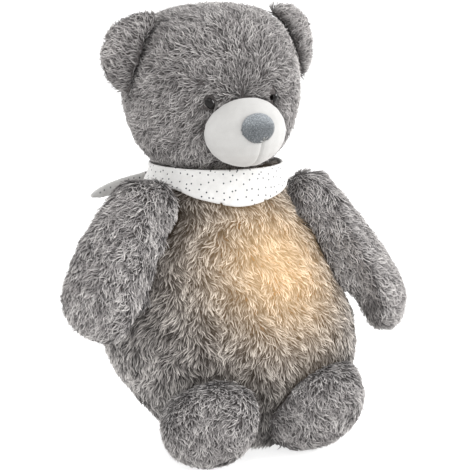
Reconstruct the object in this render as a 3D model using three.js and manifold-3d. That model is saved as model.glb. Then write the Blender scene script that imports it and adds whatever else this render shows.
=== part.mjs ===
// A plush night light: a sitting teddy bear with a lamp in its belly.
// Millimetres, +Z up. The bear faces -Y, its left side is +X, and the origin is on the seat's flat face.
import * as THREE from 'three';
import { mergeVertices } from 'three/addons/utils/BufferGeometryUtils.js';
import Module from 'manifold-3d';

const wasm = await Module();
wasm.setup();

// Fits
const seatGap = 0.3;
const swingGap = 0.5;
const overrun = 20;
const floorCut = 0.5;

// Torso: the outline runs from the seat to the neck
const torsoHeight = 182;
const torsoHalfWidth = 90;
const torsoHalfDepth = 71;
const neckSetBack = 9;
const seatShift = 18;
const seatForward = 18;
const neckShift = 4;
const torsoRings = 19;
const torsoSides = 32;
const torsoOutlineShares = [
  [0, 0], [0.46, 0.002], [0.62, 0.045], [0.74, 0.11], [0.88, 0.21], [0.975, 0.31], [1, 0.4], [0.985, 0.48],
  [0.92, 0.56], [0.84, 0.65], [0.76, 0.74], [0.68, 0.83], [0.58, 0.91], [0.51, 0.96], [0.46, 1],
];

// Head: the outline runs from below the neck to the crown
const headHeight = 115.5;
const headHalfWidth = 62;
const headHalfDepth = 54;
const headSink = 6;
const headSetBack = 10;
const headShift = 1;
const headTilt = THREE.MathUtils.degToRad(2.2);
const headTurn = THREE.MathUtils.degToRad(3);
const headRings = 16;
const headSides = 30;
const headOutlineShares = [
  [0, 0], [0.36, 0.015], [0.64, 0.075], [0.86, 0.21], [0.97, 0.38], [1, 0.52],
  [0.96, 0.69], [0.83, 0.85], [0.6, 0.95], [0.32, 0.99], [0, 1],
];

// Ears: flat stuffed rounds at the top corners of the head
const earHalfWidth = 29;
const earHalfHeight = 30;
const earHalfDepth = 10.5;
const earApart = 98;
const earSetBack = -8;
const earRise = 25;
const earLean = THREE.MathUtils.degToRad(24);
const earTurn = THREE.MathUtils.degToRad(16);

// Muzzle and nose
const muzzleHalfWidth = 28;
const muzzleHalfHeight = 22.8;
const muzzleHalfDepth = 20.5;
const muzzleForward = 52;
const muzzleRise = 29;
const noseHalfWidth = 12;
const noseHalfHeight = 10;
const noseHalfDepth = 6;
const noseRise = 4;
const noseBury = 2;

// Eyes: a domed front on a stem, held by a lock washer inside the head
const eyeHalfWidth = 3.5;
const eyeHalfHeight = 5;
const eyeHalfDepth = 3.4;
const eyeApart = 46.5;
const eyeRise = 20;
const eyeProud = 1.6;
const eyeTurn = THREE.MathUtils.degToRad(26);
const eyeStemRadius = 2;
const eyeStemLength = 13;
const washerRadius = 6.5;
const washerThickness = 1.6;
const washerDepth = 8;

// Arms: a ball end in a socket at the shoulder, swelling to a flattish paw whose flat side turns outwards
const shoulderOutShare = 0.634;
const shoulderOut = shoulderOutShare * torsoHalfWidth;
const shoulderForward = 15;
const shoulderDrop = 25;
const armBallRadius = 16;
const armOverlap = 23;
const pawRadius = 28;
const armHalfThickness = 17;
const armTurn = THREE.MathUtils.degToRad(45);
const pawForward = 27;
const rightPawOutShare = 1.022;
const rightPawOut = rightPawOutShare * torsoHalfWidth;
const rightPawDrop = 51;
const rightArmBow = 9;
const rightArmSpread = 7;
const leftPawOutShare = 1.2;
const leftPawOut = leftPawOutShare * torsoHalfWidth;
const leftPawDrop = 65;
const leftArmBow = 6;
const leftArmSpread = 2;
const armRings = 11;
const armSides = 20;
const armOutlineShares = [
  [0, 0], [0.56, 0.03], [0.86, 0.11], [0.96, 0.22], [0.96, 0.4], [0.97, 0.58], [1, 0.76],
  [0.93, 0.88], [0.66, 0.965], [0.3, 0.995], [0, 1],
];

// Legs: a ball end in a socket at the hip, swelling to a big round foot
const hipOutShare = 0.45;
const hipOut = hipOutShare * torsoHalfWidth;
const hipForward = 41;
const hipHeight = 38;
const legBallRadius = 23;
const legOverlap = 30;
const legHalfWidth = 37;
const legHalfHeight = 28.5;
const legReach = 54;
const rightFootOut = 46;
const leftFootOut = 19;
const footHeight = 26;
const legSplay = THREE.MathUtils.degToRad(15);
const legSplaySteps = 4;
const legRings = 13;
const legSides = 22;
const legOutlineShares = [
  [0, 0], [0.42, 0.04], [0.63, 0.12], [0.76, 0.25], [0.86, 0.38], [0.93, 0.52], [0.98, 0.66],
  [0.99, 0.8], [0.84, 0.92], [0.5, 0.985], [0, 1],
];

// Neckerchief, its knot at the nape and two tails
const clothThickness = 3;
const clothRise = 3;
const clothBandHeight = 11;
const clothTipDrop = 12;
const clothFrontSpread = THREE.MathUtils.degToRad(56);
const clothTipTurn = THREE.MathUtils.degToRad(4);
const clothTipShare = 1.2;
const clothFoldDepth = 1.2;
const clothFolds = 5;
const clothColumns = 60;
const clothRows = 3;
const neckClearance = 1.4;
const knotHalfWidth = 11;
const knotHalfDepth = 6;
const knotHalfHeight = 8;
const knotDrop = 5;
const tailLength = 84;
const tailHalfWidth = 5;
const tailHalfThickness = 1.8;
const tailSpread = THREE.MathUtils.degToRad(80);
const tailDrop = THREE.MathUtils.degToRad(14);
const tailOutlineShares = [[0, 0], [0.34, 0.03], [0.6, 0.2], [0.95, 0.55], [1, 0.7], [0.7, 0.9], [0, 1]];

// Back flap over the pocket, with its hook and loop strips
const flapHalfWidth = 38;
const flapAbove = 34;
const flapBelow = 42;
const flapThickness = 7;
const stripHalfLength = 30;
const stripWidth = 9;
const stripThickness = 1;
const stripInset = 3;

// Light module: all of it turns about one axis along Y
const moduleOut = 10;
const moduleDrop = 64;
const capClearance = 3.7;
const liningThickness = 1;
const domeRadius = 25;
const domeDepth = 17;
const domeSkirt = 4;
const domeWall = 2;
const boardThickness = 1.6;
const ledRadius = 2.5;
const ledLength = 7;
const ledCircleRadius = 9;
const ledCount = 3;
const caseRadius = 25;
const caseWall = 3;
const caseEndWall = 2;
const carrierPlate = 2.5;
const carrierSpineRadius = 1.7;
const cellRadius = 5.25;
const cellLength = 43.7;
const cellNubRadius = 1.9;
const cellNubLength = 0.8;
const cellCircleRadius = 7.6;
const cellCount = 3;
const springLength = 4.5;
const springRadius = 3;
const contactThickness = 0.6;
const contactRadius = 4;
const capPlate = 6;
const capFloor = 3;
const capSleeveRadius = 15.4;
const capSleeveWall = 2.4;
const switchHalfWidth = 3;
const switchBodyHeight = 2.4;
const switchPlungerRadius = 1.7;
const switchPlungerHeight = 1;
const buttonRadius = 7;
const buttonFlange = 2;
const buttonFlangeThickness = 2.6;
const buttonStemRadius = 3;
const buttonProud = 2;
const buttonTravel = 1.5;
const screwRadius = 1.1;
const screwLength = 8;
const screwHeadRadius = 2.1;
const screwHeadThickness = 1.4;
const screwCircleRadius = 19;
const bossRadius = 3.2;

// Facets of round pieces
const fineSides = 26;
const midSides = 18;
const smallSides = 10;
const domeSteps = 5;
const ballSides = 20;
const ballRings = 10;
const earSides = 18;
const earRings = 9;

// Colours and finishes
const finishes = {
  plush: { color: 0x9b979c, roughness: 1, metalness: 0 },
  velour: { color: 0xd9d5d0, roughness: 0.95, metalness: 0 },
  noseCloth: { color: 0x6d7f92, roughness: 0.9, metalness: 0 },
  eyePlastic: { color: 0x0c0b0b, roughness: 0.1, metalness: 0 },
  muslin: { color: 0xe9e7e3, roughness: 0.95, metalness: 0 },
  lining: { color: 0xbdb9b5, roughness: 0.95, metalness: 0 },
  hookTape: { color: 0xd5d3cf, roughness: 0.9, metalness: 0 },
  diffuser: { color: 0xffdca8, roughness: 0.45, metalness: 0 },
  whitePlastic: { color: 0xe8e6e1, roughness: 0.45, metalness: 0 },
  blackPlastic: { color: 0x232323, roughness: 0.5, metalness: 0 },
  amberButton: { color: 0xd98a35, roughness: 0.5, metalness: 0 },
  board: { color: 0x2f5d3a, roughness: 0.5, metalness: 0 },
  led: { color: 0xffe0a0, roughness: 0.2, metalness: 0 },
  cell: { color: 0x8b8f94, roughness: 0.35, metalness: 0.6 },
  steel: { color: 0xb9bcc0, roughness: 0.3, metalness: 1 },
};

// Solids from geometries and back

function toSolid(geometry) {
  const bare = geometry.clone();
  bare.deleteAttribute('normal');
  bare.deleteAttribute('uv');
  const merged = mergeVertices(bare);
  const corners = merged.index.array;
  const kept = [];
  for (let i = 0; i < corners.length; i += 3) {
    const [a, b, c] = [corners[i], corners[i + 1], corners[i + 2]];
    if (a !== b && b !== c && c !== a) kept.push(a, b, c);
  }
  return new wasm.Manifold(new wasm.Mesh({
    numProp: 3,
    vertProperties: Float32Array.from(merged.attributes.position.array),
    triVerts: Uint32Array.from(kept),
  }));
}

function toGeometry(solid) {
  const mesh = solid.getMesh();
  const geometry = new THREE.BufferGeometry();
  geometry.setAttribute('position', new THREE.BufferAttribute(Float32Array.from(mesh.vertProperties), 3));
  geometry.setIndex(Array.from(mesh.triVerts));
  geometry.computeVertexNormals();
  return geometry;
}

function subtractAll(solid, ...tools) {
  return tools.reduce((left, tool) => left.subtract(tool), solid);
}

function boxBetween(low, high) {
  const size = high.clone().sub(low);
  const middle = high.clone().add(low).divideScalar(2);
  return new THREE.BoxGeometry(size.x, size.y, size.z).translate(middle.x, middle.y, middle.z);
}

// A solid turned about Z from a closed profile of [radius, height] pairs
function turned(profile, sides) {
  const points = profile.map(([radius, height]) => new THREE.Vector2(radius, height));
  points.push(points[0].clone());
  return new THREE.LatheGeometry(points, sides).rotateX(Math.PI / 2);
}

function disc(radius, from, to, sides) {
  return turned([[0, from], [radius, from], [radius, to], [0, to]], sides);
}

function ring(innerRadius, radius, from, to, sides) {
  return turned([[innerRadius, from], [radius, from], [radius, to], [innerRadius, to]], sides);
}

// Stuffed forms

function outlinePoints(shares, rings) {
  const points = shares.map(([across, along]) => new THREE.Vector2(across, along));
  return new THREE.SplineCurve(points).getPoints(rings);
}

function acrossShareAt(outline, alongShare) {
  const above = outline.findIndex((point) => point.y >= alongShare);
  if (above <= 0) return outline[above < 0 ? outline.length - 1 : 0].x;
  const [low, high] = [outline[above - 1], outline[above]];
  return THREE.MathUtils.mapLinear(alongShare, low.y, high.y, low.x, high.x);
}

// How far the middle of a form stands to the side at a share of its length
function middleOut({ startShift = 0, endShift = 0, bow = 0 }, along) {
  return startShift * (1 - along) ** 2 + endShift * along ** 2 + bow * Math.sin(Math.PI * along);
}

// How far back the middle of a form stands at a share of its length
function middleBack({ setBack = 0, startForward = 0, spread = 0 }, along) {
  return setBack * along ** 2 - startForward * (1 - along) ** 2 + spread * Math.sin(Math.PI * along);
}

// Elliptical rings along Z, with their middles shifted
function stuffedForm({ outline, halfWidth, halfDepth, length, sides, ...shifts }) {
  const rows = outline.filter((point) => point.x > 0);
  const positions = [];
  const corners = [];
  for (const { x: across, y: along } of rows) {
    for (let side = 0; side < sides; side += 1) {
      const angle = (2 * Math.PI * side) / sides;
      positions.push(
        middleOut(shifts, along) + halfWidth * across * Math.cos(angle),
        middleBack(shifts, along) + halfDepth * across * Math.sin(angle),
        length * along,
      );
    }
  }
  const start = outline[0].y;
  const end = outline[outline.length - 1].y;
  const startPole = rows.length * sides;
  const endPole = startPole + 1;
  positions.push(middleOut(shifts, start), middleBack(shifts, start), length * start);
  positions.push(middleOut(shifts, end), middleBack(shifts, end), length * end);
  for (let side = 0; side < sides; side += 1) {
    const next = (side + 1) % sides;
    corners.push(startPole, next, side);
    for (let row = 0; row + 1 < rows.length; row += 1) {
      const here = row * sides;
      const there = here + sides;
      corners.push(here + side, here + next, there + next, here + side, there + next, there + side);
    }
    const last = (rows.length - 1) * sides;
    corners.push(endPole, last + side, last + next);
  }
  const geometry = new THREE.BufferGeometry();
  geometry.setAttribute('position', new THREE.Float32BufferAttribute(positions, 3));
  geometry.setIndex(corners);
  return toSolid(geometry);
}

function ellipsoid(halfWidth, halfDepth, halfHeight, sides, rings) {
  const upright = new THREE.SphereGeometry(1, sides, rings).rotateX(Math.PI / 2);
  return upright.scale(halfWidth, halfDepth, halfHeight);
}

// A ball whose poles lie on the axis that it turns about
function ball(radius, centre, axisName) {
  const sphere = new THREE.SphereGeometry(radius, ballSides, ballRings);
  if (axisName === 'x') sphere.rotateZ(Math.PI / 2);
  if (axisName === 'z') sphere.rotateX(Math.PI / 2);
  return toSolid(sphere.translate(centre.x, centre.y, centre.z));
}

// The torso's form, and its size at a height

const torsoOutline = outlinePoints(torsoOutlineShares, torsoRings);
const torsoShifts = {
  startShift: seatShift,
  endShift: neckShift,
  startForward: seatForward,
  setBack: neckSetBack,
};

function torsoForm(inset) {
  const form = stuffedForm({
    outline: torsoOutline,
    halfWidth: torsoHalfWidth - inset,
    halfDepth: torsoHalfDepth - inset,
    length: torsoHeight + floorCut,
    sides: torsoSides,
    ...torsoShifts,
  });
  return form.translate([0, 0, -floorCut]);
}

function torsoAt(height) {
  const along = Math.min(1, (height + floorCut) / (torsoHeight + floorCut));
  const across = acrossShareAt(torsoOutline, along);
  return {
    halfWidth: torsoHalfWidth * across,
    halfDepth: torsoHalfDepth * across,
    middle: middleBack(torsoShifts, along),
    out: middleOut(torsoShifts, along),
  };
}

// The furthest that one side of the torso stands out at a distance from a line across it
function torsoReach(side, centre, distance) {
  const steps = 4 * fineSides;
  let reach = 0;
  for (let step = 0; step < steps; step += 1) {
    const angle = (2 * Math.PI * step) / steps;
    const { halfWidth, halfDepth, middle, out } = torsoAt(centre.z + distance * Math.cos(angle));
    const forward = (centre.y + distance * Math.sin(angle) - middle) / halfDepth;
    if (Math.abs(forward) >= 1) continue;
    reach = Math.max(reach, side * out + halfWidth * Math.sqrt(1 - forward * forward));
  }
  return reach;
}

// The head's form, and where its front surface lies

const headOutline = outlinePoints(headOutlineShares, headRings);
const headBase = torsoHeight - headSink;
const headMiddle = new THREE.Vector3(headShift, headSetBack, headBase + headHeight / 2);

function headForm(outset) {
  const form = stuffedForm({
    outline: headOutline,
    halfWidth: headHalfWidth + outset,
    halfDepth: headHalfDepth + outset,
    length: headHeight + 2 * outset,
    sides: headSides,
  });
  return form.translate([headMiddle.x, headMiddle.y, headBase - outset]);
}

function headFrontAt(out, height) {
  const across = acrossShareAt(headOutline, (height - headBase) / headHeight);
  const share = out / (headHalfWidth * across);
  return headMiddle.y - headHalfDepth * across * Math.sqrt(1 - share * share);
}

// Heights that hang from the neck

const moduleHeight = torsoHeight - moduleDrop;
const flapTop = moduleHeight + flapAbove;
const flapBottom = moduleHeight - flapBelow;
const clothTop = torsoHeight + clothRise;
const knotHeight = torsoHeight - knotDrop;

// Places of the limbs

function shoulder(side) {
  const height = torsoHeight - shoulderDrop;
  return new THREE.Vector3(torsoAt(height).out + side * shoulderOut, -shoulderForward, height);
}

function hip(side) {
  return new THREE.Vector3(torsoAt(hipHeight).out + side * hipOut, -hipForward, hipHeight);
}

// The head and what it carries lean and turn towards the bear's right
function leaned(solid) {
  const { y, z } = headMiddle;
  const [tilt, turn] = [headTilt, headTurn].map(THREE.MathUtils.radToDeg);
  return solid.translate([0, -y, -z]).rotate([0, -tilt, -turn]).translate([0, y, z]);
}

function eyePlace(side) {
  const out = (side * eyeApart) / 2;
  const height = torsoHeight + muzzleRise + eyeRise;
  const facing = new THREE.Vector3(side * Math.sin(eyeTurn), -Math.cos(eyeTurn), 0);
  const surface = new THREE.Vector3(out, headFrontAt(out, height), height);
  return { facing, middle: surface.addScaledVector(facing, -eyeHalfDepth + eyeProud) };
}

// A geometry whose Z axis is turned to point along facing, with its origin moved to place
function aimed(geometry, facing, place) {
  const turn = new THREE.Quaternion().setFromUnitVectors(new THREE.Vector3(0, 0, 1), facing);
  return geometry.applyQuaternion(turn).translate(place.x, place.y, place.z);
}

// The same, with the form's X turned as near as it goes to a given way
function aimedFlat(geometry, facing, flatWay, place) {
  const out = flatWay.clone().addScaledVector(facing, -flatWay.dot(facing)).normalize();
  const across = facing.clone().cross(out);
  return geometry.applyMatrix4(new THREE.Matrix4().makeBasis(out, across, facing).setPosition(place));
}

// Layers under the flap: the hook strip, the loop strip and the floor of their recess

const hookInset = flapThickness + seatGap;
const loopInset = hookInset + stripThickness + seatGap;
const recessInset = loopInset + stripThickness + seatGap;

// Light module: distances run back along Y from the dome's front

const moduleAxis = new THREE.Vector3(0, 1, 0);
const boardFront = domeDepth - boardThickness;
const caseFront = domeDepth + seatGap;
const caseShoulder = domeDepth + domeSkirt + seatGap;
const carrierFront = caseFront + caseEndWall + seatGap;
const springFront = carrierFront + carrierPlate + seatGap;
const cellFront = springFront + springLength + seatGap;
const contactFront = cellFront + cellLength + cellNubLength + seatGap;
const carrierBack = contactFront + contactThickness + seatGap;
const sleeveFront = carrierBack + carrierPlate + seatGap;
const switchBoardFront = sleeveFront + seatGap;
const switchFront = switchBoardFront + boardThickness + seatGap;
const switchBack = switchFront + switchBodyHeight + switchPlungerHeight;
const buttonFront = switchBack + seatGap + buttonTravel;
const capInner = buttonFront + buttonTravel + buttonFlangeThickness + seatGap;
const capBack = capInner + capFloor;
const capFront = capBack - capPlate;
const caseBack = capFront - seatGap;
const neckRadius = domeRadius - domeWall - seatGap;
const boardRadius = neckRadius - seatGap;

// The cap stands clear of the flap where the torso's back is nearest to it
const capTop = torsoAt(moduleHeight + caseRadius);
const moduleFront = capTop.middle + capTop.halfDepth - hookInset - capClearance - capBack;

function inModule(geometry) {
  const place = new THREE.Vector3(moduleOut, moduleFront, moduleHeight);
  return aimed(geometry, moduleAxis, place);
}

// Points of a dome's outline from its tip to its rim
function domeCurve(radius, tip, rim) {
  const curve = new THREE.EllipseCurve(0, rim, radius, rim - tip, -Math.PI / 2, 0);
  return curve.getPoints(domeSteps).map((point, i) => [i === 0 ? 0 : point.x, point.y]);
}

function domedPlug(outset, to) {
  const curve = domeCurve(domeRadius + outset, -outset, domeDepth);
  return turned([...curve, [domeRadius + outset, to], [0, to]], fineSides);
}

function circlePlaces(count, radius) {
  return Array.from({ length: count }, (_, i) => {
    const angle = Math.PI / 2 + (2 * Math.PI * i) / count;
    return [radius * Math.cos(angle), radius * Math.sin(angle)];
  });
}

// Back flap: a slice of the torso's own shell

function flapWindow(outset) {
  return toSolid(boxBetween(
    new THREE.Vector3(-flapHalfWidth - outset, 0, flapBottom - outset),
    new THREE.Vector3(flapHalfWidth + outset, torsoHalfDepth + overrun, flapTop + outset),
  ));
}

function shellSlice(window, outerInset, innerInset) {
  return torsoForm(outerInset).intersect(window).subtract(torsoForm(innerInset));
}


function stripWindow() {
  const bottom = flapBottom + stripInset;
  return toSolid(boxBetween(
    new THREE.Vector3(-stripHalfLength, 0, bottom),
    new THREE.Vector3(stripHalfLength, torsoHalfDepth + overrun, bottom + stripWidth),
  ));
}

// Pieces of the bear

function floorBlock() {
  const reach = torsoHalfWidth + torsoHalfDepth;
  return toSolid(boxBetween(
    new THREE.Vector3(-reach, -reach, -overrun),
    new THREE.Vector3(reach, reach, 0),
  ));
}

function pocketRoom() {
  return toSolid(inModule(domedPlug(liningThickness + 2 * seatGap, capBack + overrun)));
}

function torso() {
  const recess = flapWindow(seatGap).subtract(torsoForm(recessInset));
  const sockets = [];
  for (const side of [-1, 1]) {
    sockets.push(ball(armBallRadius + swingGap, shoulder(side), 'x'));
    sockets.push(ball(legBallRadius + swingGap, hip(side), 'z'));
  }
  return subtractAll(torsoForm(0), floorBlock(), recess, pocketRoom(), ...sockets);
}

function flap() {
  return shellSlice(flapWindow(0), 0, flapThickness);
}

function head() {
  const neckFace = torsoHeight + seatGap;
  const under = toSolid(boxBetween(
    new THREE.Vector3(-headHalfWidth, headMiddle.y - headHalfDepth, headBase - overrun),
    new THREE.Vector3(headHalfWidth, headMiddle.y + headHalfDepth, neckFace),
  ));
  const tools = [];
  for (const side of [-1, 1]) {
    const { facing, middle } = eyePlace(side);
    const stemRoom = disc(eyeStemRadius + seatGap, -eyeStemLength - seatGap, eyeHalfDepth, smallSides);
    const from = -washerDepth - seatGap;
    const washerRoom = disc(washerRadius + seatGap, from, from + washerThickness + 2 * seatGap, midSides);
    tools.push(toSolid(aimed(stemRoom, facing, middle)));
    tools.push(toSolid(aimed(washerRoom, facing, middle)));
  }
  return leaned(subtractAll(headForm(0), ...tools)).subtract(under);
}

function ear(side) {
  const form = ellipsoid(earHalfWidth, earHalfDepth, earHalfHeight, earSides, earRings);
  form.rotateY(side * earLean).rotateZ(side * earTurn);
  form.translate((side * earApart) / 2, headMiddle.y + earSetBack, headMiddle.z + earRise);
  return leaned(toSolid(form).subtract(headForm(seatGap)));
}

function muzzleForm(outset) {
  const form = ellipsoid(
    muzzleHalfWidth + outset,
    muzzleHalfDepth + outset,
    muzzleHalfHeight + outset,
    ballSides,
    ballRings,
  );
  return toSolid(form.translate(0, headMiddle.y - muzzleForward, torsoHeight + muzzleRise));
}

function nose() {
  const front = headMiddle.y - muzzleForward - muzzleHalfDepth;
  const form = ellipsoid(noseHalfWidth, noseHalfDepth, noseHalfHeight, midSides, smallSides);
  form.translate(0, front + noseBury, torsoHeight + muzzleRise + noseRise);
  return leaned(toSolid(form).subtract(muzzleForm(seatGap)));
}

function eye(side) {
  const { facing, middle } = eyePlace(side);
  const front = toSolid(aimed(
    ellipsoid(eyeHalfWidth, eyeHalfHeight, eyeHalfDepth, midSides, smallSides),
    facing,
    middle,
  ));
  const stemFront = eyeHalfDepth - eyeProud / 2;
  const stem = toSolid(aimed(disc(eyeStemRadius, -eyeStemLength, stemFront, smallSides), facing, middle));
  return leaned(front.subtract(headForm(seatGap)).add(stem));
}

function lockWasher(side) {
  const { facing, middle } = eyePlace(side);
  const inner = eyeStemRadius + seatGap;
  const washer = ring(inner, washerRadius, -washerDepth, -washerDepth + washerThickness, midSides);
  return leaned(toSolid(aimed(washer, facing, middle)));
}

// The room that the torso's side needs as the arm swings, turned about the shoulder's axis
function swingRoom(side) {
  const centre = shoulder(side);
  const steps = armRings;
  const furthest = Math.max(rightPawOut, leftPawOut);
  const profile = [];
  for (let step = 0; step <= steps; step += 1) {
    const distance = (furthest * step) / steps;
    const near = [-1, 0, 1].map((share) => Math.abs(distance + (share * furthest) / (2 * steps)));
    const reach = Math.max(...near.map((place) => torsoReach(side, centre, place)));
    profile.push([distance, reach + swingGap - side * centre.x]);
  }
  const room = turned([[0, -shoulderOut], [furthest, -shoulderOut], ...profile.reverse()], fineSides);
  return toSolid(aimed(room, new THREE.Vector3(side, 0, 0), centre));
}

function arm(side) {
  const root = shoulder(side);
  const [pawOut, pawDrop, bow, spread] = side < 0
    ? [rightPawOut, rightPawDrop, rightArmBow, rightArmSpread]
    : [leftPawOut, leftPawDrop, leftArmBow, leftArmSpread];
  const paw = new THREE.Vector3(side * pawOut, -pawForward, root.z - pawDrop);
  const along = paw.clone().sub(root);
  const length = armOverlap + along.length() + pawRadius;
  const form = stuffedForm({
    outline: outlinePoints(armOutlineShares, armRings),
    halfWidth: armHalfThickness,
    halfDepth: pawRadius,
    length,
    bow,
    spread: -side * spread,
    sides: armSides,
  });
  const facing = along.normalize();
  const start = root.clone().addScaledVector(facing, -armOverlap);
  const flatWay = new THREE.Vector3(side * Math.sin(armTurn), -Math.cos(armTurn), 0);
  const limb = toSolid(aimedFlat(toGeometry(form), facing, flatWay, start));
  return limb.subtract(swingRoom(side)).add(ball(armBallRadius, root, 'x')).subtract(pocketRoom());
}

// The room that the torso needs in a leg as the leg splays about its hip
function splayRoom(side) {
  const root = hip(side);
  const body = torsoForm(-seatGap).translate([-root.x, -root.y, 0]);
  const rooms = [];
  for (let step = 0; step <= legSplaySteps; step += 1) {
    const turn = THREE.MathUtils.radToDeg((-side * legSplay * step) / legSplaySteps);
    rooms.push(body.rotate([0, 0, turn]).translate([root.x, root.y, 0]));
  }
  return rooms;
}

function leg(side) {
  const root = hip(side);
  const form = stuffedForm({
    outline: outlinePoints(legOutlineShares, legRings),
    halfWidth: legHalfWidth,
    halfDepth: legHalfHeight,
    length: legOverlap + legReach,
    sides: legSides,
  });
  const footOut = side < 0 ? rightFootOut : leftFootOut;
  const facing = new THREE.Vector3(side * footOut - root.x, -legReach, footHeight - hipHeight).normalize();
  const start = root.clone().addScaledVector(facing, -legOverlap);
  const raised = toSolid(aimed(toGeometry(form), facing, start));
  const limb = raised.translate([0, 0, -floorCut - raised.boundingBox().min[2]]);
  const cut = subtractAll(limb, ...splayRoom(side));
  return subtractAll(cut.add(ball(legBallRadius, root, 'z')), pocketRoom(), floorBlock());
}

// Neckerchief: a padded band round the neck that drops to a rounded point on the chest

function clothBottom(angle) {
  const fromFront = Math.abs(angle + clothTipTurn) / clothFrontSpread;
  const drop = fromFront < 1 ? clothTipDrop * (1 - fromFront ** clothTipShare) : 0;
  return clothTop - clothBandHeight - drop;
}

function clothPoint(angle, height, outset) {
  const body = torsoAt(height);
  const leanDrop = body.halfWidth * Math.sin(headTilt);
  const headShare = acrossShareAt(headOutline, (clothTop + leanDrop - headBase) / headHeight);
  const clear = headHalfWidth * headShare + neckClearance;
  const halfWidth = Math.max(body.halfWidth + seatGap, clear) + outset;
  const halfDepth = Math.max(body.halfDepth + seatGap, clear) + outset;
  return [body.out + halfWidth * Math.sin(angle), body.middle - halfDepth * Math.cos(angle), height];
}

function neckerchief() {
  const positions = [];
  const corners = [];
  const around = 2 * clothRows + 2;
  for (let column = 0; column < clothColumns; column += 1) {
    const angle = (2 * Math.PI * column) / clothColumns - Math.PI;
    const bottom = clothBottom(angle);
    const nearFront = Math.max(0, 1 - Math.abs(angle) / clothFrontSpread);
    const fold = clothFoldDepth * nearFront * (1 - Math.cos(clothFolds * angle)) / 2;
    for (let row = 0; row <= clothRows; row += 1) {
      const height = THREE.MathUtils.lerp(bottom, clothTop, row / clothRows);
      positions.push(...clothPoint(angle, height, 0));
    }
    for (let row = clothRows; row >= 0; row -= 1) {
      const height = THREE.MathUtils.lerp(bottom, clothTop, row / clothRows);
      positions.push(...clothPoint(angle, height, clothThickness + fold * (1 - row / clothRows)));
    }
  }
  for (let column = 0; column < clothColumns; column += 1) {
    const here = column * around;
    const there = ((column + 1) % clothColumns) * around;
    for (let point = 0; point < around; point += 1) {
      const next = (point + 1) % around;
      corners.push(here + point, here + next, there + next, here + point, there + next, there + point);
    }
  }
  const geometry = new THREE.BufferGeometry();
  geometry.setAttribute('position', new THREE.Float32BufferAttribute(positions, 3));
  geometry.setIndex(corners);
  return toSolid(geometry);
}

function knotMiddle() {
  const [out, back] = clothPoint(Math.PI, knotHeight, clothThickness);
  return new THREE.Vector3(out, back + seatGap + knotHalfDepth, knotHeight);
}

function knot() {
  const middle = knotMiddle();
  const form = ellipsoid(knotHalfWidth, knotHalfDepth, knotHalfHeight, midSides, smallSides);
  return toSolid(form.translate(middle.x, middle.y, middle.z));
}

function tail(side) {
  const middle = knotMiddle();
  const form = stuffedForm({
    outline: outlinePoints(tailOutlineShares, smallSides),
    halfWidth: tailHalfWidth,
    halfDepth: tailHalfThickness,
    length: tailLength,
    sides: smallSides,
  });
  const tongue = toGeometry(form).rotateY(side * (Math.PI - tailSpread)).rotateZ(-side * tailDrop);
  tongue.translate(middle.x, middle.y, middle.z);
  const room = ellipsoid(
    knotHalfWidth + seatGap,
    knotHalfDepth + seatGap,
    knotHalfHeight + seatGap,
    midSides,
    smallSides,
  );
  return toSolid(tongue).subtract(toSolid(room.translate(middle.x, middle.y, middle.z)));
}

// Pieces of the light module

function pocketLining() {
  const outer = toSolid(domedPlug(seatGap + liningThickness, capBack));
  const inner = toSolid(domedPlug(seatGap, capBack + overrun));
  const sleeve = toSolid(inModule(toGeometry(outer.subtract(inner))));
  return sleeve.subtract(flapWindow(0).subtract(torsoForm(recessInset)));
}

function diffuserDome() {
  const outer = domeCurve(domeRadius, 0, domeDepth);
  const inner = domeCurve(domeRadius - domeWall, domeWall, domeDepth).reverse();
  const rim = domeDepth + domeSkirt;
  return turned([...outer, [domeRadius, rim], [domeRadius - domeWall, rim], ...inner], fineSides);
}

function moduleCase() {
  const bore = caseRadius - caseWall;
  const shell = toSolid(turned([
    [0, caseFront], [neckRadius, caseFront], [neckRadius, caseShoulder], [caseRadius, caseShoulder],
    [caseRadius, caseBack], [bore, caseBack], [bore, caseFront + caseEndWall], [0, caseFront + caseEndWall],
  ], fineSides));
  let body = shell;
  for (const side of [-1, 1]) {
    const boss = disc(bossRadius, caseBack - screwLength, caseBack, smallSides);
    body = body.add(toSolid(boss.translate(side * screwCircleRadius, 0, 0)));
  }
  for (const side of [-1, 1]) {
    const holeFront = caseBack - screwLength + caseWall;
    const hole = disc(screwRadius + seatGap, holeFront, caseBack + overrun, smallSides);
    body = body.subtract(toSolid(hole.translate(side * screwCircleRadius, 0, 0)));
  }
  return toGeometry(body);
}

function cellCarrier() {
  const plateRadius = caseRadius - caseWall - seatGap;
  const front = toSolid(disc(plateRadius, carrierFront, carrierFront + carrierPlate, midSides));
  const back = toSolid(disc(plateRadius, carrierBack, carrierBack + carrierPlate, midSides));
  const spine = toSolid(disc(carrierSpineRadius, carrierFront, carrierBack + carrierPlate, smallSides));
  return toGeometry(front.add(back).add(spine));
}

function cell() {
  const back = cellFront + cellLength;
  return turned([
    [0, cellFront], [cellRadius, cellFront], [cellRadius, back], [cellNubRadius, back],
    [cellNubRadius, back + cellNubLength], [0, back + cellNubLength],
  ], midSides);
}

function led() {
  const back = boardFront - seatGap;
  const shoulderAt = back - ledLength + ledRadius;
  const tip = domeCurve(ledRadius, back - ledLength, shoulderAt);
  return turned([...tip, [ledRadius, back], [0, back]], smallSides);
}

function tactSwitch() {
  const base = toSolid(boxBetween(
    new THREE.Vector3(-switchHalfWidth, -switchHalfWidth, switchFront),
    new THREE.Vector3(switchHalfWidth, switchHalfWidth, switchFront + switchBodyHeight),
  ));
  return toGeometry(base.add(toSolid(disc(switchPlungerRadius, switchFront, switchBack, smallSides))));
}

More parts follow.
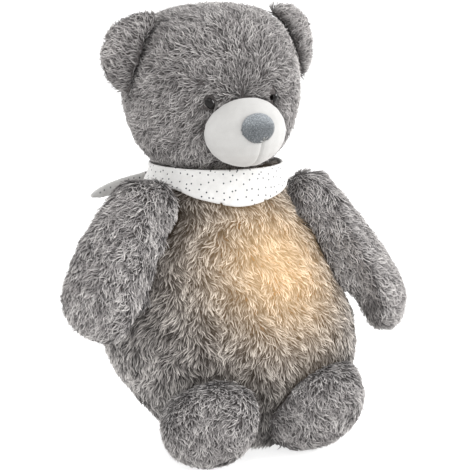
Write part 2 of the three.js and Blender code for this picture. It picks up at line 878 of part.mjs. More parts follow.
function tailCap() {
  const sleeveInner = capSleeveRadius - capSleeveWall;
  const hole = buttonRadius + seatGap;
  let body = toSolid(turned([
    [hole, capInner], [sleeveInner, capInner], [sleeveInner, sleeveFront], [capSleeveRadius, sleeveFront],
    [capSleeveRadius, capFront], [caseRadius, capFront], [caseRadius, capBack], [hole, capBack],
  ], fineSides));
  for (const side of [-1, 1]) {
    const headFront = capBack - screwHeadThickness - seatGap;
    const shank = disc(screwRadius + seatGap, capFront - overrun, capBack + overrun, smallSides);
    const head = disc(screwHeadRadius + seatGap, headFront, capBack + overrun, smallSides);
    body = body.subtract(toSolid(shank.translate(side * screwCircleRadius, 0, 0)));
    body = body.subtract(toSolid(head.translate(side * screwCircleRadius, 0, 0)));
  }
  return toGeometry(body);
}

function capScrew(side) {
  const headFront = capBack - screwHeadThickness;
  const tip = headFront - screwLength;
  const screw = turned([
    [0, tip], [screwRadius, tip], [screwRadius, headFront], [screwHeadRadius, headFront],
    [screwHeadRadius, capBack], [0, capBack],
  ], smallSides);
  return screw.translate(side * screwCircleRadius, 0, 0);
}

function pushButton() {
  const flangeBack = capInner - seatGap;
  const flangeFront = flangeBack - buttonFlangeThickness;
  const top = capBack + buttonProud;
  return turned([
    [0, buttonFront], [buttonStemRadius, buttonFront], [buttonStemRadius, flangeFront],
    [buttonRadius + buttonFlange, flangeFront], [buttonRadius + buttonFlange, flangeBack],
    [buttonRadius, flangeBack], [buttonRadius, top - seatGap], [buttonRadius - seatGap, top], [0, top],
  ], midSides);
}

// Assembly

const bear = new THREE.Group();

function addPiece(name, shape, finish) {
  const geometry = shape.isBufferGeometry ? shape : toGeometry(shape);
  const mesh = new THREE.Mesh(geometry, new THREE.MeshStandardMaterial(finishes[finish]));
  mesh.name = name;
  bear.add(mesh);
}

function addModulePiece(name, geometry, finish) {
  addPiece(name, inModule(geometry), finish);
}

addPiece('torso', torso(), 'plush');
addPiece('back_flap', flap(), 'plush');
addPiece('flap_hook_strip', shellSlice(stripWindow(), hookInset, hookInset + stripThickness), 'hookTape');
addPiece('pocket_loop_strip', shellSlice(stripWindow(), loopInset, loopInset + stripThickness), 'hookTape');
addPiece('pocket_lining', pocketLining(), 'lining');
addPiece('head', head(), 'plush');
addPiece('muzzle', leaned(muzzleForm(0).subtract(headForm(seatGap))), 'velour');
addPiece('nose', nose(), 'noseCloth');
for (const [sideName, side] of [['right', -1], ['left', 1]]) {
  addPiece(`${sideName}_ear`, ear(side), 'plush');
  addPiece(`${sideName}_eye`, eye(side), 'eyePlastic');
  addPiece(`${sideName}_eye_washer`, lockWasher(side), 'whitePlastic');
  addPiece(`${sideName}_arm`, arm(side), 'plush');
  addPiece(`${sideName}_leg`, leg(side), 'plush');
  addPiece(`${sideName}_tail`, tail(side), 'muslin');
}
addPiece('neckerchief', neckerchief(), 'muslin');
addPiece('neckerchief_knot', knot(), 'muslin');

addModulePiece('diffuser_dome', diffuserDome(), 'diffuser');
addModulePiece('led_board', disc(boardRadius, boardFront, boardFront + boardThickness, midSides), 'board');
circlePlaces(ledCount, ledCircleRadius).forEach(([out, up], i) => {
  addModulePiece(`led_${i + 1}`, led().translate(out, up, 0), 'led');
});
addModulePiece('module_case', moduleCase(), 'whitePlastic');
addModulePiece('cell_carrier', cellCarrier(), 'blackPlastic');
circlePlaces(cellCount, cellCircleRadius).forEach(([out, up], i) => {
  const spring = disc(springRadius, springFront, springFront + springLength, smallSides);
  const contact = disc(contactRadius, contactFront, contactFront + contactThickness, smallSides);
  addModulePiece(`cell_spring_${i + 1}`, spring.translate(out, up, 0), 'steel');
  addModulePiece(`cell_${i + 1}`, cell().translate(out, up, 0), 'cell');
  addModulePiece(`cell_contact_${i + 1}`, contact.translate(out, up, 0), 'steel');
});
const switchBoardRadius = capSleeveRadius - capSleeveWall - seatGap;
addModulePiece(
  'switch_board',
  disc(switchBoardRadius, switchBoardFront, switchBoardFront + boardThickness, midSides),
  'board',
);
addModulePiece('tact_switch', tactSwitch(), 'blackPlastic');
addModulePiece('tail_cap', tailCap(), 'whitePlastic');
addModulePiece('cap_screw_right', capScrew(-1), 'steel');
addModulePiece('cap_screw_left', capScrew(1), 'steel');
addModulePiece('push_button', pushButton(), 'amberButton');

export default bear;
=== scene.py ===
# A plush night light: a sitting teddy bear with a lamp in its belly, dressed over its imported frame.
# Metres, +Z up. The bear faces -Y and its left side is +X.
import math

import bmesh
import bpy
import numpy as np
from mathutils import Matrix, Vector
from mathutils.bvhtree import BVHTree


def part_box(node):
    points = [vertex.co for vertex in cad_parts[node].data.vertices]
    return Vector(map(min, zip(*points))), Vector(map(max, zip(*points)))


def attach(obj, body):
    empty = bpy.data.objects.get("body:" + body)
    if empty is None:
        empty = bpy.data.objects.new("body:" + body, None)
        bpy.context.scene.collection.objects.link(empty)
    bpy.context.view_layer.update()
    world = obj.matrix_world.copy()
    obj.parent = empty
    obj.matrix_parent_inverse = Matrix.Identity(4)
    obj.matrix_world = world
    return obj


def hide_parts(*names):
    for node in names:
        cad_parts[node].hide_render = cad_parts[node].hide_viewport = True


MM = 0.001
SIDES = {"right": -1, "left": 1}

# Camera: a point of the bear and the pixel of the photograph where it lies
IMAGE_PX = 470
AIM_POINT = Vector((0, 0, 140 * MM))
AIM_PIXEL = (217, 230)
PX_PER_MM = 1.49
CAMERA_DISTANCE = 1200 * MM
CAMERA_AZIMUTH = math.radians(-28)
CAMERA_ELEVATION = math.radians(10)
CAMERA_CLIP = (0.05, 20)
SENSOR = 36

# Stage, in metres and watts: the lights' names, places, sizes and powers
FLOOR_REACH = 6.0
FLOOR_STRENGTH = 0.8
WORLD_STRENGTH = 1.05
LIGHTS = (
    ("key", (-0.67, -1.5, 1.3), 0.3, 4),
    ("fill", (1.5, -0.8, 0.9), 0.9, 27),
    ("side", (-1.6, -0.1, 1.2), 0.8, 6),
    ("rim", (0.3, 1.2, 1.3), 1.0, 8),
)

# Noise: its table, and the shifts that keep one use of it apart from another
NOISE_CELLS = 32
NOISE_START = 11.3
NOISE_SHIFTS = {"turn": 5.1, "lock": 2.7, "patch": 8.8, "tail": 3.3, "lining": 6.2, "tape": 4.4}

# Seeds: each further part of a coat adds 10, and its side adds or takes 1
NOISE_SEED = 7
SEEDS = {"torso": 100, "flap": 150, "head": 200, "ear": 300, "arm": 400, "leg": 500, "hook": 600, "loop": 620}

# Soft copies of the CAD nodes: voxel size and rounds of smoothing
BASE_GRAIN = (3.2 * MM, 6)
FLAP_GRAIN = (1.6 * MM, 3)
MUZZLE_GRAIN = (0.8 * MM, 20)
NOSE_GRAIN = (0.7 * MM, 6)
EYE_GRAIN = (0.35 * MM, 8)
KNOT_GRAIN = (0.8 * MM, 6)
TAIL_GRAIN = (0.8 * MM, 5)
SMOOTH_FACTOR = 0.5
BALL_CUTS = 3

# Pile: the backing lies under the CAD surface and the tufts rise to it
PILE_DEPTH = 2.4 * MM
EAR_PILE_DEPTH = 1.2 * MM
FLAP_PILE_DEPTH = 1.2 * MM
PILE_CLEARANCE = 0.9 * MM
ROOT_RAY_SHARE = 0.6
TIP_RAY_SHARE = 1.1
TIP_GAP_SHARE = 0.85
TRIES_PER_CELL = 1.7
CELL_KEY_STEP = 4096
TUFT_LEAST_SHARE = 0.4
TUFT_CHECKS = (0.35, 0.7, 1.0)
TUFT_RINGS = np.array([0.0, 0.34, 0.68, 1.0])
TUFT_WIDTH_SHARES = np.array([0.8, 1.0, 0.72, 0.0])
CELL_MARGIN_SHARE = 0.06
PRESSED_LIFT = math.radians(6)
PRESSED_LENGTH_SHARE = 0.4
PATCH_SIZE = 9 * MM
# How far from another piece the painted crease shade reaches
CREASE_REACH = 22 * MM
SWIRL_SIZE = 11 * MM
LOCK_SIZE = 4.2 * MM

# How tufts differ in lift (its jitter in degrees), length, bend, curl, width and tint
LIFT_JITTER = 9
LIFT_LIMITS = np.radians([12, 80])
LENGTH_LEAST = 0.62
LENGTH_BY_RANK = 0.48
LENGTH_BY_LOCK = 0.1
BEND_LEAST = 0.7
BEND_SPREAD = 0.6
BEND_FORWARD = 0.35
CURL_TURN = 3.4
WIDTH_LEAST = 0.75
WIDTH_SPREAD = 0.5
TINT_MIDDLE = 0.5
# Low-ranked tufts are shorter and darker: random tone, and painted shade of the deeper pile between the long
# tufts
TINT_BY_RANK = 0.5
TINT_BY_LOCK = 0.2
TINT_BY_PATCH = 0.1
TINT_JITTER = 0.05

# Combs: the way the pile runs, and how strongly it runs out from a centre
TORSO_COMB = {"way": (0, 0, -1), "outward": 0.55, "centre": (0, 0, 130 * MM)}
FLAP_COMB = {"way": (0, 0, -1)}
HEAD_COMB = {"way": (0, 0.1, -0.35), "outward": 1.0}
EAR_COMB = {"way": (0.8, 0, 0.35), "outward": 0.4, "centre": (50 * MM, 0, 255 * MM)}
ARM_COMB = {"way": (0.6, -0.1, -1.0)}
LEG_COMB = {"way": (0.25, -0.5, -1.0)}

# Where the torso's coat is split, in front of and behind its middle
TORSO_SPLIT = 24 * MM

# Creases of the limbs that are narrower than this close up
ARM_CREASE_FILL = 8 * MM
LEG_CREASE_FILL = 5 * MM

# Stuffing of the arms: balls that fill the armpits, and pushes (centre, reach, way) that shape the shoulders
ARMPIT_RADIUS = 12 * MM
ARMPITS = {
    "right": [Vector(place) * MM for place in ((-62, -24, 141), (-71, -27, 124), (-76, -29, 106))],
    "left": [Vector(place) * MM for place in ((69, -24, 141), (76, -24, 122), (83, -24, 105))],
}
SHOULDER_PUSHES = {
    "right": [(Vector((-52, -15, 172)) * MM, 20 * MM, Vector((0, 0, 9)) * MM)],
    "left": [(Vector((55, -15, 172)) * MM, 20 * MM, Vector((0, 0, 8)) * MM)],
}

# Stuffing of the neck, a ball that fills the neckerchief's ring
NECK_BALL = (Vector((35, -4, 172)) * MM, 16 * MM)

# Where the two feet press on each other
FEET_PUSH = (Vector((-2, -85, 30)) * MM, 34 * MM, Vector((-9, 0, 0)) * MM)

# Openings in the pile for the eyes: half their width and height, and how far they reach behind the eye
EYE_OPENINGS = {"right": (3.9 * MM, 5.6 * MM), "left": (3.3 * MM, 7.4 * MM)}
OPENING_DEPTH = 4 * MM

# Lamp glow on the belly
GLOW_CENTRE = (19 * MM, -54 * MM, 122 * MM)
GLOW_REACH = 40 * MM
GLOW_TINT_REACH = 76 * MM
GLOW_TINT_SHARE = 0.8
GLOW_STRENGTH = 0.58
GLOW_BACKING_SHARE = 0.6

# Seam of the muzzle: a groove that starts behind the nose's lower edge, with a low swell on each side
SEAM_START = 2 * MM
SEAM_DEPTH = 1.1 * MM
SEAM_WIDTH = 0.7 * MM
SEAM_TURN = 0.6
SWELL_PLACE = 4 * MM
SWELL_WIDTH = 3 * MM
SWELL_HEIGHT = 0.3 * MM

# Pucker at the nose's lower edge
PUCKER_SIDE = 0.4 * MM
PUCKER_RISE = 1.6 * MM
PUCKER_DEPTH = 1.6 * MM
PUCKER_REACH = 1.9 * MM
PUCKER_STRETCH = np.array([1.0, 0.5, 1.0])

# Points this close are one point
MERGE_REACH = 0.001 * MM

# Shorter vectors aren't stretched to a length of 1
LEAST_LENGTH = 1e-9

# Pocket lining and tapes
LINING_CUTS = 2
WRINKLE_SIZE = 7 * MM
WRINKLE_HEIGHT = 0.12 * MM
WRINKLE_STRETCH = (1.0, 0.35, 1.0)
TAPE_CUTS = 3
TAPE_WEAVE_SIZE = 0.8 * MM
TAPE_WEAVE_HEIGHT = 0.05 * MM
TAPE_EDGE = 1 * MM

# Stitches at the nose
THREAD_COUNT = 7
THREAD_FIRST_TURN = 0.3
THREAD_RADIUS = 0.24 * MM
THREAD_REACH = 3.2 * MM
THREAD_STEP_SHARES = (0.1, 0.4, 0.7, 1.0)

# Neckerchief: each fold has a height, a count round the neck and a turn
CLOTH_THICKNESS = 2.2 * MM
CLOTH_TOP_DROP = 0.4 * MM
CLOTH_INSET = 0.2 * MM
CLOTH_COLUMNS = 240
CLOTH_ROWS = 26
CLOTH_FOLDS = ((0.5 * MM, 7, 1.1), (0.35 * MM, 17, 0.0))
FOLD_FADE = 1.2
HEM_RISE = 0.4 * MM
HEM_STEPS = 8
HEM_SPREAD = 2 * math.pi / 60
HEM_SMOOTHING = 6
CLOTH_MAP_RADIUS = 50 * MM
DOT_SPACING = 5.4 * MM
DOT_RADIUS = 0.55 * MM

# Knot and tails
RIPPLE_HEIGHT = 0.5 * MM
KNOT_RIPPLE_SIZE = 2.6 * MM
KNOT_RIPPLE_STRETCH = (1.0, 1.0, 0.35)
TAIL_RIPPLE_SIZE = 9 * MM

# Rays that find a surface start this far away
RAY_LENGTH = 200 * MM


# Noise

NOISE_TABLE = np.random.default_rng(NOISE_SEED).random((NOISE_CELLS,) * 3)


def value_noise(points, size, shift=0.0):
    """Smooth noise from -1 to 1 at points, with features of the given size."""
    at = points / size + NOISE_START + shift
    cell = np.floor(at).astype(int)
    part = at - cell
    part = part * part * (3 - 2 * part)
    total = np.zeros(len(points))
    for corner in np.ndindex(2, 2, 2):
        index = (cell + corner) % NOISE_CELLS
        weight = np.prod(np.where(corner, part, 1 - part), axis=1)
        total += weight * NOISE_TABLE[index[:, 0], index[:, 1], index[:, 2]]
    return 2 * total - 1


def unit(vectors):
    return vectors / np.maximum(np.linalg.norm(vectors, axis=1, keepdims=True), LEAST_LENGTH)


# Meshes

def new_object(name, mesh):
    obj = bpy.data.objects.new(name, mesh)
    bpy.context.scene.collection.objects.link(obj)
    return obj


def mesh_from_arrays(name, points, faces, smooth=True):
    """A mesh of faces that all have the same number of corners."""
    corners = faces.shape[1]
    mesh = bpy.data.meshes.new(name)
    mesh.vertices.add(len(points))
    mesh.vertices.foreach_set("co", np.asarray(points, dtype=np.float32).ravel())
    mesh.loops.add(faces.size)
    mesh.loops.foreach_set("vertex_index", faces.ravel().astype(np.int32))
    mesh.polygons.add(len(faces))
    mesh.polygons.foreach_set("loop_start", np.arange(0, faces.size, corners, dtype=np.int32))
    mesh.polygons.foreach_set("use_smooth", np.full(len(faces), smooth))
    mesh.update(calc_edges=True)
    return mesh


def triples(items, name, kind):
    found = np.empty(len(items) * 3, dtype=kind)
    items.foreach_get(name, found)
    return found.reshape(-1, 3)


def points_of(mesh):
    return triples(mesh.vertices, "co", np.float32).astype(float)


def normals_of(mesh):
    return triples(mesh.vertices, "normal", np.float32).astype(float)


def triangles_of(mesh):
    mesh.calc_loop_triangles()
    return triples(mesh.loop_triangles, "vertices", np.int32)


def set_points(mesh, points):
    mesh.vertices.foreach_set("co", np.asarray(points, dtype=np.float32).ravel())
    mesh.update()


def shade_smooth(mesh):
    mesh.polygons.foreach_set("use_smooth", np.full(len(mesh.polygons), True))


def applied(obj):
    """Bakes an object's modifiers into its mesh."""
    depsgraph = bpy.context.evaluated_depsgraph_get()
    mesh = bpy.data.meshes.new_from_object(obj.evaluated_get(depsgraph))
    obj.modifiers.clear()
    obj.data = mesh


def voxel_remesh(obj, voxel):
    remesh = obj.modifiers.new("remesh", "REMESH")
    remesh.mode = "VOXEL"
    remesh.voxel_size = voxel


def add_balls(mesh, balls):
    """Adds balls of stuffing, given as centres and radii, to a mesh that is about to be remeshed."""
    shaped = bmesh.new()
    shaped.from_mesh(mesh)
    for centre, radius in balls:
        place = Matrix.Translation(centre)
        bmesh.ops.create_icosphere(shaped, subdivisions=BALL_CUTS, radius=radius, matrix=place)
    shaped.to_mesh(mesh)
    shaped.free()


def push_points(mesh, pushes):
    """Moves the parts of a mesh that lie near the centres of the pushes."""
    points = points_of(mesh)
    for centre, reach, way in pushes:
        away = np.linalg.norm(points - np.array(centre), axis=1) / reach
        points += np.exp(-(away**2))[:, None] * np.array(way)
    set_points(mesh, points)


def remeshed(name, node, voxel, smoothing, inset=0.0, fill=0.0, balls=(), pushes=()):
    """A soft copy of a CAD node, remeshed, smoothed and drawn in. Creases narrower than the fill close up."""
    obj = new_object(name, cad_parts[node].data.copy())
    if balls:
        add_balls(obj.data, balls)
    if fill:
        voxel_remesh(obj, voxel)
        applied(obj)
        set_points(obj.data, points_of(obj.data) + fill * normals_of(obj.data))
    voxel_remesh(obj, voxel)
    smooth = obj.modifiers.new("smooth", "SMOOTH")
    smooth.factor = SMOOTH_FACTOR
    smooth.iterations = smoothing
    applied(obj)
    mesh = obj.data
    mesh.name = name
    mesh.materials.clear()
    shade_smooth(mesh)
    set_points(mesh, points_of(mesh) - (inset + fill) * normals_of(mesh))
    push_points(mesh, pushes)
    return obj


def refined(name, node, cuts):
    """A copy of a CAD node with its faces cut finer, ready to be shaped."""
    obj = new_object(name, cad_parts[node].data.copy())
    mesh = obj.data
    mesh.materials.clear()
    shaped = bmesh.new()
    shaped.from_mesh(mesh)
    bmesh.ops.remove_doubles(shaped, verts=shaped.verts, dist=MERGE_REACH)
    bmesh.ops.triangulate(shaped, faces=shaped.faces)
    bmesh.ops.subdivide_edges(shaped, edges=shaped.edges, cuts=cuts, use_grid_fill=True)
    shaped.to_mesh(mesh)
    shaped.free()
    mesh.name = name
    return obj


def roughen(mesh, size, height, shift=0.0, stretch=(1.0, 1.0, 1.0)):
    """Moves a mesh in and out along its normals by a smooth noise."""
    points = points_of(mesh)
    noise = value_noise(points * np.array(stretch), size, shift)
    set_points(mesh, points + normals_of(mesh) * (height * noise)[:, None])


def tree_of(*nodes):
    """One search tree over the surfaces of several CAD nodes."""
    points = []
    faces = []
    count = 0
    for node in nodes:
        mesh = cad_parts[node].data
        points.append(points_of(mesh))
        faces.append(triangles_of(mesh) + count)
        count += len(mesh.vertices)
    return BVHTree.FromPolygons(np.concatenate(points).tolist(), np.concatenate(faces).tolist())


# Materials

class Nodes:
    """A new material's node tree, with short ways to add and join nodes."""

    def __init__(self, name):
        self.material = bpy.data.materials.new(name)
        self.material.use_nodes = True
        self.tree = self.material.node_tree
        self.shader = self.tree.nodes["Principled BSDF"]

    def add(self, kind, inputs=None, **settings):
        node = self.tree.nodes.new("ShaderNode" + kind)
        for key, value in settings.items():
            setattr(node, key, value)
        for key, value in (inputs or {}).items():
            self.put(value, node.inputs[key])
        return node

    def put(self, value, socket):
        if isinstance(value, bpy.types.NodeSocket):
            self.tree.links.new(value, socket)
        else:
            socket.default_value = value

    def set(self, **inputs):
        for key, value in inputs.items():
            self.put(value, self.shader.inputs[key.replace("_", " ")])

    def math(self, operation, *values):
        node = self.add("Math", operation=operation)
        for socket, value in zip(node.inputs, values):
            self.put(value, socket)
        return node.outputs[0]

    def noise(self, vector, scale, detail=2.0, roughness=0.5):
        inputs = {"Vector": vector, "Scale": scale, "Detail": detail, "Roughness": roughness}
        return self.add("TexNoise", inputs).outputs["Fac"]

    def ramp(self, factor, stops):
        node = self.add("ValToRGB", {"Fac": factor})
        elements = node.color_ramp.elements
        while len(elements) < len(stops):
            elements.new(0.5)
        for element, (place, colour) in zip(elements, stops):
            element.position = place
            element.color = (*colour, 1)
        return node.outputs["Color"]

    def mix(self, factor, first, second, blend="MIX"):
        node = self.add("Mix", data_type="RGBA", blend_type=blend)
        self.put(factor, node.inputs["Factor"])
        self.put(first, node.inputs["A"])
        self.put(second, node.inputs["B"])
        return node.outputs["Result"]

    def times(self, first, second):
        return self.mix(1.0, first, second, "MULTIPLY")

    def threads(self, place, across, **inputs):
        """Two sets of threads that cross each other."""
        inputs["Vector"] = place
        warp = self.add("TexWave", inputs, bands_direction="X")
        weft = self.add("TexWave", inputs, bands_direction=across)
        return self.math("MULTIPLY", warp.outputs["Fac"], weft.outputs["Fac"])

    def worn(self, factor, roughness, spread):
        """Roughness that varies about its mean."""
        inputs = {"Value": factor, "To Min": roughness * (1 - spread), "To Max": roughness * (1 + spread)}
        self.set(Roughness=self.add("MapRange", inputs).outputs["Result"])

    def bump(self, height, strength, distance):
        inputs = {"Height": height, "Strength": strength, "Distance": distance}
        self.set(Normal=self.add("Bump", inputs).outputs["Normal"])

    def position(self):
        return self.add("NewGeometry").outputs["Position"]


def rgb(red, green, blue):
    """Linear colour of an sRGB one."""
    return tuple(
        value / 12.92 if value <= 0.04045 else ((value + 0.055) / 1.055) ** 2.4
        for value in (red / 255, green / 255, blue / 255)
    )


def rgba(*colour):
    return (*rgb(*colour), 1)


def grey(value):
    return (value, value, value)


def glow_share(nodes, reach):
    """How much of the lamp's light reaches a point: 1 at the glow's centre, falling over its reach."""
    away = nodes.add("VectorMath", {0: nodes.position(), 1: GLOW_CENTRE}, operation="DISTANCE")
    share = nodes.math("DIVIDE", away.outputs["Value"], reach)
    return nodes.math("EXPONENT", nodes.math("MULTIPLY", nodes.math("MULTIPLY", share, share), -1.0))


def pile_material(name, lit):
    """Curly grey pile, tinted from lock to lock: painted shade darkens each tuft towards its root and its
    edges, the alpha brings painted crease shade and each piece's tone, and where lit the lamp's glow is
    painted on as a warm tint and emission.
    """
    nodes = Nodes(name)
    tuft = nodes.add("Attribute", attribute_name="tuft")
    split = nodes.add("SeparateColor", {"Color": tuft.outputs["Color"]})
    tint, along, across = split.outputs[0], split.outputs[1], split.outputs[2]
    hue = nodes.ramp(tint, [(0.0, rgb(52, 48, 47)), (0.45, rgb(150, 146, 145)), (1.0, rgb(234, 230, 227))])
    # Painted shade: each tuft darkens towards its root, where the pile shadows itself.
    shade = nodes.ramp(along, [(0.0, grey(0.2)), (0.35, grey(0.6)), (0.7, grey(0.92)), (1.0, grey(1.0))])
    # Painted shade: each tuft darkens towards its edges, as a rounded lock is shaded.
    from_middle = nodes.math("MULTIPLY", nodes.math("ABSOLUTE", nodes.math("SUBTRACT", across, 0.5)), 2.0)
    edge = nodes.ramp(from_middle, [(0.3, grey(1.0)), (0.7, grey(0.7)), (1.0, grey(0.3))])
    # The alpha brings in the painted crease shade and each piece's tone.
    colour = nodes.times(nodes.times(nodes.times(hue, shade), edge), tuft.outputs["Alpha"])
    if lit:
        # Painted light: the lamp's glow through the belly is painted on the pile as a warm tint and an
        # emission.
        painted_glow_tint = nodes.math("MULTIPLY", glow_share(nodes, GLOW_TINT_REACH), GLOW_TINT_SHARE)
        colour = nodes.mix(painted_glow_tint, colour, nodes.times(colour, (1.0, 0.86, 0.66, 1)))
        strength = nodes.math("MULTIPLY", glow_share(nodes, GLOW_REACH), GLOW_STRENGTH)
        nodes.set(Emission_Color=(1.0, 0.64, 0.3, 1), Emission_Strength=strength)
    nodes.set(Base_Color=colour, Roughness=0.85, Sheen_Weight=0.25, Sheen_Roughness=0.5)
    nodes.set(Specular_IOR_Level=0.15)
    return nodes.material


def backing_material(lit):
    """The knitted backing between the tufts, coloured dark grey as painted shade under the pile; where lit,
    the lamp's glow is painted on.
    """
    nodes = Nodes("backing_lit" if lit else "backing")
    grain = nodes.noise(nodes.position(), 900.0, 3.0)
    # Painted shade: the backing is dark, as the pile's shadow falls on it.
    colour = nodes.ramp(grain, [(0.3, rgb(70, 66, 65)), (0.7, rgb(104, 99, 98))])
    if lit:
        # Painted light: the lamp's glow is painted on the backing as a warm colour and an emission.
        colour = nodes.mix(glow_share(nodes, GLOW_REACH), colour, rgba(190, 150, 100))
        strength = nodes.math("MULTIPLY", glow_share(nodes, GLOW_REACH), GLOW_STRENGTH * GLOW_BACKING_SHARE)
        nodes.set(Emission_Color=(1.0, 0.55, 0.18, 1), Emission_Strength=strength)
    nodes.set(Base_Color=colour, Roughness=0.95, Specular_IOR_Level=0.1)
    nodes.bump(grain, 0.6, 0.4 * MM)
    return nodes.material


def velour_material():
    """Short brushed pile of the muzzle."""
    nodes = Nodes("velour")
    place = nodes.position()
    fine = nodes.noise(place, 2600.0, 3.0, 0.6)
    broad = nodes.noise(place, 90.0, 2.0)
    colour = nodes.ramp(broad, [(0.3, rgb(184, 183, 181)), (0.7, rgb(192, 191, 189))])
    speck = nodes.ramp(fine, [(0.35, (0.93, 0.925, 0.92)), (0.65, grey(1.0))])
    nodes.set(Base_Color=nodes.times(colour, speck), Roughness=0.95)
    nodes.set(Sheen_Weight=0.3, Sheen_Roughness=0.6, Specular_IOR_Level=0.1)
    nodes.bump(fine, 0.5, 0.25 * MM)
    return nodes.material


def nose_material():
    """Blue-grey brushed cloth with a coarse nap, and painted light that makes its upward-facing parts
    lighter.
    """
    nodes = Nodes("nose_cloth")
    place = nodes.position()
    nap = nodes.noise(place, 1300.0, 3.0, 0.7)
    broad = nodes.noise(place, 160.0, 2.0)
    hues = [(0.3, rgb(92, 96, 100)), (0.52, rgb(140, 145, 149)), (0.72, rgb(196, 200, 203))]
    colour = nodes.ramp(nap, hues)
    shade = nodes.ramp(broad, [(0.3, (0.8, 0.81, 0.82)), (0.7, grey(1.0))])
    # Painted light: the parts of the nose that face up are lighter, as if lit from above.
    up_facing = nodes.add("SeparateXYZ", {0: nodes.add("NewGeometry").outputs["Normal"]}).outputs["Z"]
    painted_top_light = nodes.ramp(up_facing, [(0.0, grey(0.5)), (0.35, grey(0.85)), (0.9, grey(1.0))])
    nodes.set(Base_Color=nodes.times(colour, nodes.times(shade, painted_top_light)), Roughness=0.8)
    nodes.set(Sheen_Weight=0.35, Sheen_Roughness=0.4, Specular_IOR_Level=0.2)
    nodes.bump(nap, 0.8, 0.4 * MM)
    return nodes.material


def eye_material():
    """Polished black plastic, mottled faintly brown."""
    nodes = Nodes("eye_plastic")
    fine = nodes.noise(nodes.position(), 700.0, 2.0)
    colour = nodes.ramp(fine, [(0.3, rgb(12, 10, 10)), (0.8, rgb(24, 20, 19))])
    nodes.set(Base_Color=colour, Roughness=0.05, Specular_IOR_Level=0.25)
    return nodes.material


def muslin_material():
    """Crinkled white cotton with a fine weave and small dark pin dots in a loose lattice."""
    nodes = Nodes("muslin")
    cloth = nodes.add("UVMap", uv_map="cloth").outputs["UV"]
    spread = nodes.add("VectorMath", {0: cloth, 1: (1 / DOT_SPACING,) * 3}, operation="MULTIPLY")
    lattice = nodes.add("TexVoronoi", {"Vector": spread.outputs[0], "Scale": 1.0, "Randomness": 0.7})
    lattice.voronoi_dimensions = "2D"
    inside = nodes.math("LESS_THAN", lattice.outputs["Distance"], DOT_RADIUS / DOT_SPACING)
    threads = nodes.threads(cloth, "Y", Scale=420.0, Distortion=1.5)
    crinkle = nodes.noise(cloth, 150.0, 4.0, 0.6)
    white = nodes.ramp(crinkle, [(0.3, rgb(206, 205, 203)), (0.7, rgb(220, 219, 217))])
    colour = nodes.mix(inside, white, rgba(52, 58, 66))
    nodes.set(Base_Color=colour, Roughness=0.9, Specular_IOR_Level=0.2, Sheen_Weight=0.1)
    height = nodes.math("ADD", nodes.math("MULTIPLY", threads, 0.25), crinkle)
    nodes.bump(height, 0.5, 0.5 * MM)
    return nodes.material


def plastic_material(name, colour, roughness, glow=0.0):
    """Moulded plastic with a fine grain and a little wear in its gloss."""
    nodes = Nodes(name)
    place = nodes.position()
    grain = nodes.noise(place, 1500.0, 3.0, 0.6)
    patch = nodes.noise(place, 60.0, 2.0)
    shade = nodes.ramp(patch, [(0.3, grey(0.92)), (0.7, grey(1.0))])
    nodes.set(Base_Color=nodes.times(rgba(*colour), shade))
    nodes.worn(patch, roughness, 0.15)
    if glow:
        nodes.set(Emission_Color=(1.0, 0.62, 0.25, 1), Emission_Strength=glow)
    nodes.bump(grain, 0.15, 0.1 * MM)
    return nodes.material


def metal_material(name, colour, roughness):
    """Plated steel with fine drawn streaks."""
    nodes = Nodes(name)
    stretched = nodes.add("Mapping", {"Vector": nodes.position(), "Scale": (2400.0, 160.0, 2400.0)})
    streaks = nodes.noise(stretched.outputs["Vector"], 1.0, 3.0)
    shade = nodes.ramp(streaks, [(0.3, grey(0.82)), (0.7, grey(1.0))])
    nodes.set(Base_Color=nodes.times(rgba(*colour), shade), Metallic=1.0)
    nodes.worn(streaks, roughness, 0.2)
    return nodes.material


def board_material():
    """Green solder mask over faint copper tracks."""
    nodes = Nodes("board")
    tracks = nodes.add("TexBrick", {"Vector": nodes.position(), "Scale": 260.0, "Mortar Size": 0.04})
    tracks.inputs["Color1"].default_value = rgba(30, 84, 48)
    tracks.inputs["Color2"].default_value = rgba(34, 92, 52)
    tracks.inputs["Mortar"].default_value = rgba(72, 128, 70)
    nodes.set(Base_Color=tracks.outputs["Color"], Roughness=0.35)
    nodes.bump(tracks.outputs["Fac"], 0.3, 0.1 * MM)
    return nodes.material


def weave_material(name, first, second):
    """Plain woven cloth."""
    nodes = Nodes(name)
    threads = nodes.threads(nodes.position(), "Z", Scale=500.0)
    nodes.set(Base_Color=nodes.ramp(threads, [(0.0, rgb(*first)), (0.7, rgb(*second))]), Roughness=0.92)
    nodes.bump(threads, 0.6, 0.3 * MM)
    return nodes.material


def hook_material():
    """Tape with a bed of small hooks."""
    nodes = Nodes("hook_tape")
    bed = nodes.add("TexVoronoi", {"Vector": nodes.position(), "Scale": 1100.0})
    colour = nodes.ramp(bed.outputs["Distance"], [(0.0, rgb(226, 224, 220)), (0.6, rgb(160, 157, 153))])
    nodes.set(Base_Color=colour, Roughness=0.8)
    nodes.bump(bed.outputs["Distance"], 0.8, 0.4 * MM)
    return nodes.material


def paint(obj, slot, material=None):
    """Gives an object one material: the one named by the slot, or another that is named."""
    obj.data.materials.clear()
    obj.data.materials.append(MATERIALS[material or slot])
    return obj


# Pile

